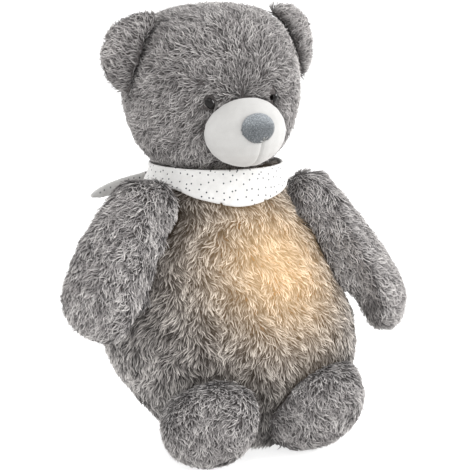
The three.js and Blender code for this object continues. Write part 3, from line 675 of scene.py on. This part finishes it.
def scattered(mesh, spacing, seed):
    """Points spread over a mesh, about one for each square of the spacing, with their normals."""
    points = points_of(mesh)
    normals = normals_of(mesh)
    triangles = triangles_of(mesh)
    a, b, c = (points[triangles[:, i]] for i in range(3))
    areas = np.linalg.norm(np.cross(b - a, c - a), axis=1) / 2
    rng = np.random.default_rng(seed)
    count = int(areas.sum() / spacing**2 * TRIES_PER_CELL)
    chosen = rng.choice(len(triangles), size=count, p=areas / areas.sum())
    u, v = rng.random((2, count))
    over = u + v > 1
    u[over], v[over] = 1 - u[over], 1 - v[over]
    weights = np.stack([1 - u - v, u, v], axis=1)[:, :, None]
    corners = triangles[chosen]
    places = (points[corners] * weights).sum(axis=1)
    facings = unit((normals[corners] * weights).sum(axis=1))
    cells = np.floor(places / spacing).astype(np.int64)
    keys = cells @ np.array([1, CELL_KEY_STEP, CELL_KEY_STEP**2])
    _, first = np.unique(keys, return_index=True)
    first.sort()
    return places[first], facings[first]


def pressed_roots(places, facings, neighbours):
    """True where a neighbour lies close in front of the pile."""
    pressed = np.zeros(len(places), dtype=bool)
    if neighbours is None:
        return pressed
    starts = places + facings * (PILE_DEPTH * ROOT_RAY_SHARE)
    reach = PILE_CLEARANCE + PILE_DEPTH * (1 - ROOT_RAY_SHARE)
    for i, (start, facing) in enumerate(zip(starts, facings)):
        hit = neighbours.ray_cast(Vector(start), Vector(facing), reach)
        pressed[i] = hit[0] is not None
    return pressed


def shortened(places, tips, hard):
    """The share of each tuft that stays clear of the pieces in its way."""
    shares = np.ones(len(places))
    if hard is None:
        return shares
    for i, (start, tip) in enumerate(zip(places, tips)):
        way = Vector(tip - start)
        hit = hard.ray_cast(Vector(start), way.normalized(), way.length * TIP_RAY_SHARE)
        if hit[0] is not None:
            shares[i] = TIP_GAP_SHARE * hit[3] / way.length
    return shares


def painted_crease_shades(places, others, depth):
    """Painted crease shade for each tuft beside the pieces that it meets: 1 away from them, darker towards
    the crease.
    """
    shades = np.ones(len(places))
    if others is None:
        return shades
    for i, place in enumerate(places):
        hit = others.find_nearest(Vector(place), CREASE_REACH)
        if hit[0] is not None:
            shades[i] = 1 - depth * (1 - hit[3] / CREASE_REACH) ** 2
    return shades


def opened(points, opening):
    """True for points that stand in front of an opening: an oval about an axis."""
    away = points - opening["centre"]
    across = np.cross(opening["axis"], (0, 0, 1))
    up = np.cross(across, opening["axis"])
    width, height = opening["size"]
    reach = (away @ across / width) ** 2 + (away @ up / height) ** 2
    return (away @ opening["axis"] > -OPENING_DEPTH) & (reach < 1)


def tuft_faces(count):
    """Triangles of flat tufts with 2 points on each ring but the last."""
    one = []
    for ring in range(len(TUFT_RINGS) - 2):
        a = 2 * ring
        one += [(a, a + 1, a + 3), (a, a + 3, a + 2)]
    last = 2 * (len(TUFT_RINGS) - 2)
    one.append((last, last + 1, last + 2))
    one = np.array(one)
    per_tuft = last + 3
    return (one[None] + per_tuft * np.arange(count)[:, None, None]).reshape(-1, 3), one, per_tuft


def lay_tufts(mesh, one, count):
    """Gives each tuft a cell of its own in the baked map."""
    side = math.ceil(math.sqrt(count))
    rings = len(TUFT_RINGS)
    spots = []
    for point in range(2 * (rings - 1) + 1):
        ring = point // 2
        across = 0.5 if ring == rings - 1 else point % 2
        spots.append((across, TUFT_RINGS[ring]))
    spots = CELL_MARGIN_SHARE + (1 - 2 * CELL_MARGIN_SHARE) * np.array(spots)
    cells = np.stack([np.arange(count) % side, np.arange(count) // side], axis=1)
    uv = (cells[:, None, None, :] + spots[one][None]) / side
    layer = mesh.uv_layers.new(name="OFBake")
    layer.data.foreach_set("uv", uv.astype(np.float32).ravel())


def colour_tufts(mesh, tints, shades, per_tuft):
    """Keeps for the shader each tuft's tint, the place along and across it, and as the alpha its painted
    crease shade times the piece's tone.
    """
    ring_of = np.minimum(np.arange(per_tuft) // 2, len(TUFT_RINGS) - 1)
    colours = np.ones((len(tints), per_tuft, 4), dtype=np.float32)
    colours[:, :, 0] = tints[:, None]
    colours[:, :, 1] = TUFT_RINGS[ring_of][None]
    colours[:, :, 2] = [0, 1] * (len(TUFT_RINGS) - 1) + [0.5]
    colours[:, :, 3] = shades[:, None]
    attribute = mesh.attributes.new("tuft", "FLOAT_COLOR", "POINT")
    attribute.data.foreach_set("color", colours.ravel())


def pile(name, mesh, comb, look, seed, neighbours=None, keep=None, openings=(), creases=None):
    """Short curly tufts over a mesh, combed along the surface."""
    places, facings = scattered(mesh, look["spacing"], seed)
    if keep is not None:
        kept = keep(places)
        places, facings = places[kept], facings[kept]
    pressed = pressed_roots(places, facings, neighbours)
    count = len(places)
    rng = np.random.default_rng(seed + 1)
    along = comb(places)
    along = unit(along - facings * (along * facings).sum(axis=1, keepdims=True))
    across = np.cross(facings, along)
    swirl = look["swirl"] * value_noise(places, SWIRL_SIZE)
    swirl += look["lock_turn"] * value_noise(places, LOCK_SIZE, NOISE_SHIFTS["turn"])
    swirl += look["jitter"] * rng.normal(size=count)
    turned = along * np.cos(swirl)[:, None] + across * np.sin(swirl)[:, None]
    beside = np.cross(facings, turned)
    lock = value_noise(places, LOCK_SIZE, NOISE_SHIFTS["lock"])
    lift = np.radians(look["lift"] + look["lift_spread"] * lock + LIFT_JITTER * rng.normal(size=count))
    lift = np.where(pressed, PRESSED_LIFT, np.clip(lift, *LIFT_LIMITS))
    rank = rng.random(count)
    length = look["length"] * (LENGTH_LEAST + LENGTH_BY_RANK * rank + LENGTH_BY_LOCK * lock)
    length = length * np.where(pressed, PRESSED_LENGTH_SHARE, 1)
    bend = look["bend"] * (BEND_LEAST + BEND_SPREAD * rng.random(count))
    curl = look["curl"] * rng.normal(size=count)
    phase = 2 * np.pi * rng.random(count)

    def centre(t, scale):
        rise = np.sin(lift) * t - bend * t * t * np.sin(lift)
        sweep = np.cos(lift) * t + BEND_FORWARD * bend * t * t
        side = curl * np.sin(CURL_TURN * t + phase) * t
        reach = (length * scale)[:, None]
        return places + reach * (turned * sweep[:, None] + facings * rise[:, None] + beside * side[:, None])

    whole = np.ones(count)
    scale = shortened(places, centre(1.0, whole), neighbours)
    for opening in openings:
        for share in TUFT_CHECKS:
            inside = opened(centre(share, whole), opening)
            scale = np.where(inside, np.minimum(scale, share - TUFT_CHECKS[0] / 2), scale)
    keepers = scale > TUFT_LEAST_SHARE
    roll = look["roll"] * rng.normal(size=count)
    flat = beside * np.cos(roll)[:, None] + facings * np.sin(roll)[:, None]
    width = look["width"] * (WIDTH_LEAST + WIDTH_SPREAD * rng.random(count)) / 2
    rings = []
    for t, share in zip(TUFT_RINGS, TUFT_WIDTH_SHARES):
        middle = centre(t, scale)
        edge = flat * (width * share)[:, None]
        rings += [middle] if share == 0 else [middle - edge, middle + edge]
    points = np.stack(rings, axis=1)[keepers]
    points[:, :, 2] = np.maximum(points[:, :, 2], 0)
    faces, one, per_tuft = tuft_faces(len(points))
    tufts = mesh_from_arrays(name, points.reshape(-1, 3), faces)
    patch = value_noise(places, PATCH_SIZE, NOISE_SHIFTS["patch"])
    # Shorter tufts are darker: painted shade deep in the pile, besides random tone.
    tint = TINT_BY_RANK * (rank - 0.5) + TINT_BY_LOCK * lock + TINT_BY_PATCH * patch
    tint = TINT_MIDDLE + look["contrast"] * tint
    tint += TINT_JITTER * rng.normal(size=count)
    tint = np.clip(tint, 0, 1)[keepers]
    # Painted shade in the creases beside other pieces, times the piece's tone
    shade = look["tone_and_painted_light"] * painted_crease_shades(places[keepers], creases or neighbours, look["crease"])
    colour_tufts(tufts, tint, shade, per_tuft)
    lay_tufts(tufts, one, len(points))
    return new_object(name, tufts)


def combed(way, outward=0.0, centre=(0, 0, 0), side=1):
    """A comb that runs one way and away from a centre, mirrored on the right side."""
    mirror = np.array([side, 1, 1])
    way = np.array(way, dtype=float) * mirror
    middle = np.array(centre, dtype=float) * mirror

    def comb(places):
        return way + outward * unit(places - middle)
    return comb


# Each look's tone lightens or darkens its whole pile: partly the piece's own colour, partly painted light
# that brightens the limbs and ears as if lit from the front.
LONG_PILE = {
    "spacing": 1.12 * MM, "length": 6.8 * MM, "width": 1.15 * MM, "lift": 33, "lift_spread": 12,
    "bend": 0.36, "curl": 0.3, "roll": 0.5, "swirl": 1.1, "lock_turn": 0.35, "jitter": 0.08,
    # crease: how dark the painted crease shade gets beside other pieces
    "tone_and_painted_light": 1.0, "contrast": 1.25, "crease": 0.66,
}
BELLY_PILE = dict(LONG_PILE, length=7.0 * MM, lift=29, curl=0.2, roll=0.4, lock_turn=0.4, swirl=1.3,
                  tone_and_painted_light=0.89, contrast=1.5)
SOFT_PILE = dict(LONG_PILE, spacing=1.0 * MM, length=5.6 * MM, width=0.9 * MM, tone_and_painted_light=1.12, contrast=0.8,
                 crease=0.25, curl=0.5, lock_turn=0.55)
HEAD_PILE = dict(SOFT_PILE, tone_and_painted_light=1.02)
EAR_PILE = dict(SOFT_PILE, lift=36, tone_and_painted_light=1.26)
ARM_PILE = dict(SOFT_PILE, length=6.2 * MM, tone_and_painted_light=1.24, crease=0.04)
FOOT_PILE = dict(SOFT_PILE, lift=36, tone_and_painted_light=1.2, crease=0.2)
FLAP_PILE = dict(LONG_PILE, length=6.2 * MM)
HOOKS = dict(LONG_PILE, spacing=0.9 * MM, length=0.7 * MM, width=0.22 * MM, lift=70, lift_spread=0, curl=0.1)
LOOPS = dict(LONG_PILE, spacing=0.6 * MM, length=0.8 * MM, width=0.18 * MM, lift=30, lift_spread=10)
LIMBS = ("right_arm", "left_arm", "right_leg", "left_leg")
TAILS = ("right_tail", "left_tail")


def furred(piece, node, body, comb, look, seed, neighbours, lit="", parts=(("", None),), openings=(),
           creases=None, grain=BASE_GRAIN, inset=PILE_DEPTH, **stuffing):
    """A stuffed piece: its backing and its pile, in parts if too large. Lit ends its materials' names."""
    base = remeshed(f"{piece}_plush", node, *grain, inset, **stuffing)
    paint(base, "plush", f"backing{lit}")
    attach(base, body)
    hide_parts(node)
    for i, (part, keep) in enumerate(parts):
        coat = pile(f"{piece}_plush_pile{part}", base.data, comb, look, seed + 10 * i, neighbours, keep,
                    openings, creases)
        paint(coat, "plush", f"pile{lit}")
        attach(coat, body)


def make_torso():
    neighbours = tree_of(*LIMBS, "head", "back_flap", "neckerchief", "pocket_lining", "neckerchief_knot",
                         *TAILS, "tail_cap")
    parts = (
        ("_front", lambda places: places[:, 1] < -TORSO_SPLIT),
        ("_middle", lambda places: (places[:, 1] >= -TORSO_SPLIT) & (places[:, 1] < TORSO_SPLIT)),
        ("_back", lambda places: places[:, 1] >= TORSO_SPLIT),
    )
    furred("torso", "torso", "body", combed(**TORSO_COMB), BELLY_PILE, SEEDS["torso"], neighbours,
           lit="_lit", parts=parts, creases=tree_of(*LIMBS), balls=[NECK_BALL])


def make_flap():
    neighbours = tree_of("torso", "tail_cap", "pocket_lining", "flap_hook_strip", "pocket_loop_strip",
                         "neckerchief_knot", *TAILS)
    furred("flap", "back_flap", "flap_body", combed(**FLAP_COMB), FLAP_PILE, SEEDS["flap"], neighbours,
           grain=FLAP_GRAIN, inset=FLAP_PILE_DEPTH)


def make_head():
    neighbours = tree_of("right_ear", "left_ear", "muzzle", "neckerchief", "torso")
    eyes = [np.array(sum(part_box(f"{side}_eye"), Vector()) / 2) for side in SIDES]
    middle = np.array(sum(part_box("head"), Vector()) / 2)
    openings = []
    for eye, size in zip(eyes, EYE_OPENINGS.values()):
        facing = (eye - middle) * np.array([1, 1, 0])
        openings.append({"centre": eye, "axis": facing / np.linalg.norm(facing), "size": size})
    bridge = (eyes[0] + eyes[1]) / 2
    comb = combed(**HEAD_COMB, centre=bridge)
    parts = (
        ("_front", lambda places: places[:, 1] < middle[1]),
        ("_back", lambda places: places[:, 1] >= middle[1]),
    )
    furred("head", "head", "head_body", comb, HEAD_PILE, SEEDS["head"], neighbours,
           parts=parts, openings=openings)


def make_ears():
    for name, side in SIDES.items():
        ear = f"{name}_ear"
        furred(ear, ear, "head_body", combed(**EAR_COMB, side=side), EAR_PILE, SEEDS["ear"] + side,
               tree_of("head"), inset=EAR_PILE_DEPTH)


def make_limbs():
    for name, side in SIDES.items():
        arm, leg = f"{name}_arm", f"{name}_leg"
        balls = [(place, ARMPIT_RADIUS) for place in ARMPITS[name]]
        furred(arm, arm, f"{arm}_body", combed(**ARM_COMB, side=side), ARM_PILE, SEEDS["arm"] + side,
               tree_of("torso", "neckerchief", *TAILS), fill=ARM_CREASE_FILL, balls=balls,
               pushes=SHOULDER_PUSHES[name])
        furred(leg, leg, f"{leg}_body", combed(**LEG_COMB, side=side), FOOT_PILE, SEEDS["leg"] + side,
               tree_of("torso"), fill=LEG_CREASE_FILL, pushes=[FEET_PUSH])


# Face

def make_muzzle():
    """Stuffed velour with a seam that runs down from the nose."""
    muzzle = remeshed("muzzle_velour", "muzzle", *MUZZLE_GRAIN)
    points = points_of(muzzle.data)
    normals = normals_of(muzzle.data)
    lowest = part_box("nose")[0]
    under = np.clip((lowest.z + SEAM_START - points[:, 2]) / SEAM_START, 0, 1)
    front = np.clip(-normals[:, 1] + SEAM_TURN, 0, 1)
    groove = np.exp(-((points[:, 0] / SEAM_WIDTH) ** 2)) * under * front
    swell = np.exp(-((np.abs(points[:, 0]) - SWELL_PLACE) / SWELL_WIDTH) ** 2) * under * front
    set_points(muzzle.data, points - normals * (groove * SEAM_DEPTH - swell * SWELL_HEIGHT)[:, None])
    paint(muzzle, "velour")
    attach(muzzle, "head_body")
    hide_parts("muzzle")


def make_nose():
    """Stuffed nose, drawn in to a pucker at its lower edge."""
    nose = remeshed("nose_cloth", "nose", *NOSE_GRAIN)
    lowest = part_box("nose")[0]
    points = points_of(nose.data)
    pucker = np.array([PUCKER_SIDE, lowest.y, lowest.z + PUCKER_RISE])
    away = np.linalg.norm((points - pucker) * PUCKER_STRETCH, axis=1)
    drawn_in = PUCKER_DEPTH * np.exp(-((away / PUCKER_REACH) ** 2))
    set_points(nose.data, points - normals_of(nose.data) * drawn_in[:, None])
    paint(nose, "nose_cloth")
    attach(nose, "head_body")
    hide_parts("nose")
    make_pucker_threads(nose.data, pucker)


def thread_tube(path):
    """Points and faces of a thin square tube along a path that runs up and across."""
    offsets = THREAD_RADIUS * np.array([[1, -1, 1], [1, 1, -1], [-1, -1, -1], [-1, 1, 1]])
    points = (np.array(path)[:, None] + offsets[None]).reshape(-1, 3)
    faces = []
    for ring in range(len(path) - 1):
        for side in range(4):
            a, b = 4 * ring + side, 4 * ring + (side + 1) % 4
            faces.append((a, b, b + 4, a + 4))
    last = 4 * (len(path) - 1)
    faces += [(3, 2, 1, 0), (last, last + 1, last + 2, last + 3)]
    return points, np.array(faces)


def make_pucker_threads(nose_mesh, pucker):
    """Pale stitches that draw the nose in, laid over its surface round the pucker."""
    tree = BVHTree.FromPolygons(points_of(nose_mesh).tolist(), triangles_of(nose_mesh).tolist())
    points = []
    faces = []
    for stitch in range(THREAD_COUNT):
        turn = 2 * math.pi * stitch / THREAD_COUNT + THREAD_FIRST_TURN
        path = []
        for share in THREAD_STEP_SHARES:
            reach = share * THREAD_REACH
            x = pucker[0] + reach * math.cos(turn)
            z = pucker[2] + reach * math.sin(turn)
            hit = tree.ray_cast(Vector((x, pucker[1] - RAY_LENGTH, z)), Vector((0, 1, 0)))
            if hit[0] is not None:
                path.append(hit[0] + hit[1] * THREAD_RADIUS)
        if len(path) < 2:
            continue
        tube, sides = thread_tube(path)
        faces.append(sides + sum(len(part) for part in points))
        points.append(tube)
    threads = mesh_from_arrays("nose_threads", np.concatenate(points), np.concatenate(faces))
    obj = paint(new_object("nose_threads", threads), "nose_cloth", "thread")
    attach(obj, "head_body")


def make_eyes():
    """Domed fronts of the safety eyes, on their stems."""
    for name in SIDES:
        eye = remeshed(f"{name}_eye_dome", f"{name}_eye", *EYE_GRAIN)
        paint(eye, "eye_plastic")
        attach(eye, "head_body")
        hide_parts(f"{name}_eye")


# Neckerchief

def cloth_profile(tree, angle, bottom, top, centre):
    """Points up the outside of the CAD band at one angle, from the hem to the top fold."""
    way = Vector((math.sin(angle), -math.cos(angle), 0))
    heights = np.linspace(bottom, top, CLOTH_ROWS)
    found = []
    for height in heights:
        middle = Vector((*centre, height))
        hit = tree.ray_cast(middle + way * RAY_LENGTH, -way, RAY_LENGTH)
        found.append((hit[0] - middle).dot(way) if hit[0] is not None else np.nan)
    found = np.array(found)
    known = ~np.isnan(found)
    return heights, np.interp(heights, heights[known], found[known])


def hem_heights(corners, angles, centre):
    """How far down the CAD band reaches at each angle, smoothed round the neck."""
    turns = np.arctan2(corners[:, 0] - centre[0], centre[1] - corners[:, 1])
    heights = []
    for angle in angles:
        apart = np.abs((turns - angle + math.pi) % (2 * math.pi) - math.pi)
        heights.append(corners[apart < HEM_SPREAD, 2].min())
    closed = np.concatenate([heights[-HEM_SMOOTHING:], heights, heights[:HEM_SMOOTHING]])
    kernel = np.hanning(2 * HEM_SMOOTHING + 1)
    return np.convolve(closed, kernel / kernel.sum(), "valid") + HEM_RISE


def cloth_loop(tree, angle, bottom, top, centre):
    """The padded cloth cut through at one angle: down its outside, up its inside and over the top."""
    half = CLOTH_THICKNESS / 2
    heights, radii = cloth_profile(tree, angle, bottom, top, centre)
    fold = sum(height * math.sin(count * angle + turn) for height, count, turn in CLOTH_FOLDS)
    share = (top - heights) / (top - bottom)
    radii = radii + fold * share * np.clip(FOLD_FADE - share, 0, 1) - CLOTH_INSET
    slope = np.gradient(radii, heights)
    lean = np.stack([np.ones_like(slope), -slope], axis=1) / np.sqrt(1 + slope**2)[:, None]
    outer = np.stack([radii, heights], axis=1)
    middle = outer - lean * half
    inner = middle - lean * half
    ends = []
    for index, turn_from, turn_to in ((0, 0, -math.pi), (-1, math.pi, 0)):
        out = lean[index]
        along = np.array([-out[1], out[0]])
        steps = np.linspace(turn_from, turn_to, HEM_STEPS)[1:-1]
        ends.append([middle[index] + half * (math.cos(s) * out + math.sin(s) * along) for s in steps])
    return np.concatenate([outer[::-1], ends[0], inner, ends[1]])


def ring_faces(cloth_uv):
    """Faces that join the loops into a closed ring, and the cloth coordinates of their corners."""
    columns, around = cloth_uv.shape[:2]
    faces = []
    uvs = []
    for c in range(columns):
        n = (c + 1) % columns
        first, second = cloth_uv[c], cloth_uv[n].copy()
        if n == 0:
            second[:, 0] += 2 * math.pi * CLOTH_MAP_RADIUS
        for r in range(around):
            s = (r + 1) % around
            faces.append((c * around + r, c * around + s, n * around + s, n * around + r))
            high = s or r
            uvs.append((first[r], first[high], second[high], second[r]))
    return np.array(faces), np.array(uvs, dtype=np.float32)


def make_neckerchief():
    """A padded muslin band with a rounded point on the chest, soft folds and a rolled hem."""
    tree = tree_of("neckerchief")
    corners = points_of(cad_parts["neckerchief"].data)
    lowest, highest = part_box("neckerchief")
    centre = ((lowest.x + highest.x) / 2, (lowest.y + highest.y) / 2)
    angles = np.linspace(-math.pi, math.pi, CLOTH_COLUMNS, endpoint=False)
    rows = []
    cloth_uv = []
    for angle, bottom in zip(angles, hem_heights(corners, angles, centre)):
        loop = cloth_loop(tree, angle, bottom, highest.z - CLOTH_TOP_DROP, centre)
        x = centre[0] + loop[:, 0] * math.sin(angle)
        y = centre[1] - loop[:, 0] * math.cos(angle)
        rows.append(np.stack([x, y, loop[:, 1]], axis=1))
        run = np.concatenate([[0], np.cumsum(np.linalg.norm(np.diff(loop, axis=0), axis=1))])
        cloth_uv.append(np.stack([np.full(len(run), angle * CLOTH_MAP_RADIUS), run], axis=1))
    faces, uvs = ring_faces(np.array(cloth_uv))
    cloth = mesh_from_arrays("neckerchief_muslin", np.array(rows).reshape(-1, 3), faces)
    layer = cloth.uv_layers.new(name="cloth")
    layer.data.foreach_set("uv", uvs.ravel())
    obj = new_object("neckerchief_muslin", cloth)
    paint(obj, "muslin")
    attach(obj, "body")
    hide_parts("neckerchief")


def cloth_map(obj, across, along):
    """Cloth coordinates from the place: metres across and along."""
    mesh = obj.data
    points = points_of(mesh)
    corners = np.empty(len(mesh.loops), dtype=np.int32)
    mesh.loops.foreach_get("vertex_index", corners)
    uv = np.stack([points @ np.array(across), points @ np.array(along)], axis=1)[corners]
    layer = mesh.uv_layers.new(name="cloth")
    layer.data.foreach_set("uv", uv.astype(np.float32).ravel())


def make_knot_and_tails():
    """The knot at the nape, with two padded tails."""
    knot = remeshed("knot_muslin", "neckerchief_knot", *KNOT_GRAIN)
    roughen(knot.data, KNOT_RIPPLE_SIZE, RIPPLE_HEIGHT, stretch=KNOT_RIPPLE_STRETCH)
    cloth_map(knot, (1, 0, 0), (0, 0, 1))
    pieces = [knot]
    for name, side in SIDES.items():
        tail = remeshed(f"{name}_tail_muslin", f"{name}_tail", *TAIL_GRAIN)
        roughen(tail.data, TAIL_RIPPLE_SIZE, RIPPLE_HEIGHT, NOISE_SHIFTS["tail"])
        cloth_map(tail, (0.94, -side * 0.3, 0), (0.2 * side, 0, 0.98))
        pieces.append(tail)
    for piece, node in zip(pieces, ("neckerchief_knot", *TAILS)):
        paint(piece, "muslin")
        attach(piece, "body")
        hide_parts(node)


# Pocket lining and the flap's tapes

def make_lining():
    """The pocket's woven lining, slack enough to wrinkle round the lamp."""
    lining = refined("pocket_lining_cloth", "pocket_lining", LINING_CUTS)
    roughen(lining.data, WRINKLE_SIZE, WRINKLE_HEIGHT, NOISE_SHIFTS["lining"], WRINKLE_STRETCH)
    shade_smooth(lining.data)
    paint(lining, "lining")
    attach(lining, "body")
    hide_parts("pocket_lining")


def make_tape(name, node, body, look, seed):
    """A woven tape and the bed of small hooks or loops on its face."""
    tape = refined(f"{name}_tape", node, TAPE_CUTS)
    roughen(tape.data, TAPE_WEAVE_SIZE, TAPE_WEAVE_HEIGHT, NOISE_SHIFTS["tape"])
    paint(tape, "hook_tape")
    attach(tape, body)
    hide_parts(node)
    lowest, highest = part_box(node)
    facing = 1 if body == "body" else -1

    def on_face(places):
        inside = (places[:, 0] > lowest.x + TAPE_EDGE) & (places[:, 0] < highest.x - TAPE_EDGE)
        return inside & (places[:, 2] > lowest.z + TAPE_EDGE) & (places[:, 2] < highest.z - TAPE_EDGE)
    bed = pile(f"{name}_bed", tape.data, combed((0, facing, -1)), look, seed, keep=on_face)
    paint(bed, "hook_tape")
    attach(bed, body)


# Carried-over CAD nodes: the light module and the eyes' washers

def dress_hard_parts():
    numbers = (1, 2, 3)
    steel = [f"cell_{kind}_{i}" for kind in ("spring", "contact") for i in numbers]
    finish = {
        "diffuser": ["diffuser_dome"],
        "white_plastic": ["module_case", "tail_cap", "right_eye_washer", "left_eye_washer"],
        "black_plastic": ["cell_carrier", "tact_switch"],
        "amber_button": ["push_button"],
        "board": ["led_board", "switch_board"],
        "led": [f"led_{i}" for i in numbers],
        "cell": [f"cell_{i}" for i in numbers],
        "steel": [*steel, "cap_screw_right", "cap_screw_left"],
    }
    for material, nodes in finish.items():
        for node in nodes:
            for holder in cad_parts[node].material_slots:
                holder.material = MATERIALS[material]


# Stage

def make_camera():
    direction = Vector((
        math.sin(CAMERA_AZIMUTH) * math.cos(CAMERA_ELEVATION),
        -math.cos(CAMERA_AZIMUTH) * math.cos(CAMERA_ELEVATION),
        math.sin(CAMERA_ELEVATION),
    ))
    data = bpy.data.cameras.new("camera")
    data.sensor_width = SENSOR
    data.lens = SENSOR * CAMERA_DISTANCE * PX_PER_MM / (IMAGE_PX * MM)
    data.shift_x = (IMAGE_PX / 2 - AIM_PIXEL[0]) / IMAGE_PX
    data.shift_y = (AIM_PIXEL[1] - IMAGE_PX / 2) / IMAGE_PX
    data.clip_start, data.clip_end = CAMERA_CLIP
    camera = new_object("camera", data)
    camera.location = AIM_POINT + direction * CAMERA_DISTANCE
    camera.rotation_euler = direction.to_track_quat("Z", "Y").to_euler()
    bpy.context.scene.camera = camera


def make_light(name, place, size, power):
    data = bpy.data.lights.new(name, "AREA")
    data.shape = "DISK"
    data.size = size
    data.energy = power
    light = new_object(name, data)
    light.location = place
    light.rotation_euler = (Vector(place) - AIM_POINT).to_track_quat("Z", "Y").to_euler()


def make_floor():
    corners = FLOOR_REACH * np.array([[-1, -1, 0], [1, -1, 0], [1, 1, 0], [-1, 1, 0]])
    floor = new_object("floor", mesh_from_arrays("floor", corners, np.array([[0, 1, 2, 3]]), False))
    nodes = Nodes("floor")
    fine = nodes.noise(nodes.position(), 30.0, 2.0)
    colour = nodes.ramp(fine, [(0.3, grey(0.38)), (0.7, grey(0.42))])
    nodes.set(Base_Color=colour, Roughness=0.9, Specular_IOR_Level=0.1)
    nodes.set(Emission_Color=(1.0, 1.0, 1.0, 1), Emission_Strength=FLOOR_STRENGTH)
    floor.data.materials.append(nodes.material)


def make_stage():
    make_floor()
    world = bpy.data.worlds.new("studio")
    world.use_nodes = True
    background = world.node_tree.nodes["Background"]
    background.inputs["Color"].default_value = (1.0, 1.0, 1.0, 1)
    background.inputs["Strength"].default_value = WORLD_STRENGTH
    bpy.context.scene.world = world
    for name, place, size, power in LIGHTS:
        make_light(name, place, size, power)
    bpy.context.scene.view_settings.view_transform = "Standard"


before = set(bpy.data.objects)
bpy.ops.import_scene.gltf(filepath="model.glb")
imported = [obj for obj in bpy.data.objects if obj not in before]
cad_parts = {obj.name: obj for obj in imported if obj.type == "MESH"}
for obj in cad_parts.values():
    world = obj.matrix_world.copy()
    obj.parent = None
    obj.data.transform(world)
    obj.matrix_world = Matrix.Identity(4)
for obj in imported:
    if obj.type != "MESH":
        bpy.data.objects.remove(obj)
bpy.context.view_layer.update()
make_camera()
make_stage()

MATERIALS = {
    "pile": pile_material("pile", False),
    "pile_lit": pile_material("pile_lit", True),
    "backing": backing_material(False),
    "backing_lit": backing_material(True),
    "velour": velour_material(),
    "nose_cloth": nose_material(),
    "eye_plastic": eye_material(),
    "muslin": muslin_material(),
    "thread": weave_material("thread", (176, 176, 174), (214, 214, 212)),
    "lining": weave_material("lining", (150, 147, 143), (196, 193, 189)),
    "hook_tape": hook_material(),
    "diffuser": plastic_material("diffuser", (250, 226, 190), 0.5, 1.2),
    "led": plastic_material("led", (255, 226, 170), 0.15, 4.0),
    "white_plastic": plastic_material("white_plastic", (226, 224, 219), 0.42),
    "black_plastic": plastic_material("black_plastic", (34, 34, 35), 0.5),
    "amber_button": plastic_material("amber_button", (214, 140, 60), 0.4),
    "cell": metal_material("cell", (128, 134, 142), 0.35),
    "steel": metal_material("steel", (192, 194, 196), 0.28),
    "board": board_material(),
}

make_torso()
make_flap()
make_head()
make_ears()
make_limbs()
make_muzzle()
make_nose()
make_eyes()
make_neckerchief()
make_knot_and_tails()
make_lining()
make_tape("hook", "flap_hook_strip", "flap_body", HOOKS, SEEDS["hook"])
make_tape("loop", "pocket_loop_strip", "body", LOOPS, SEEDS["loop"])
dress_hard_parts()
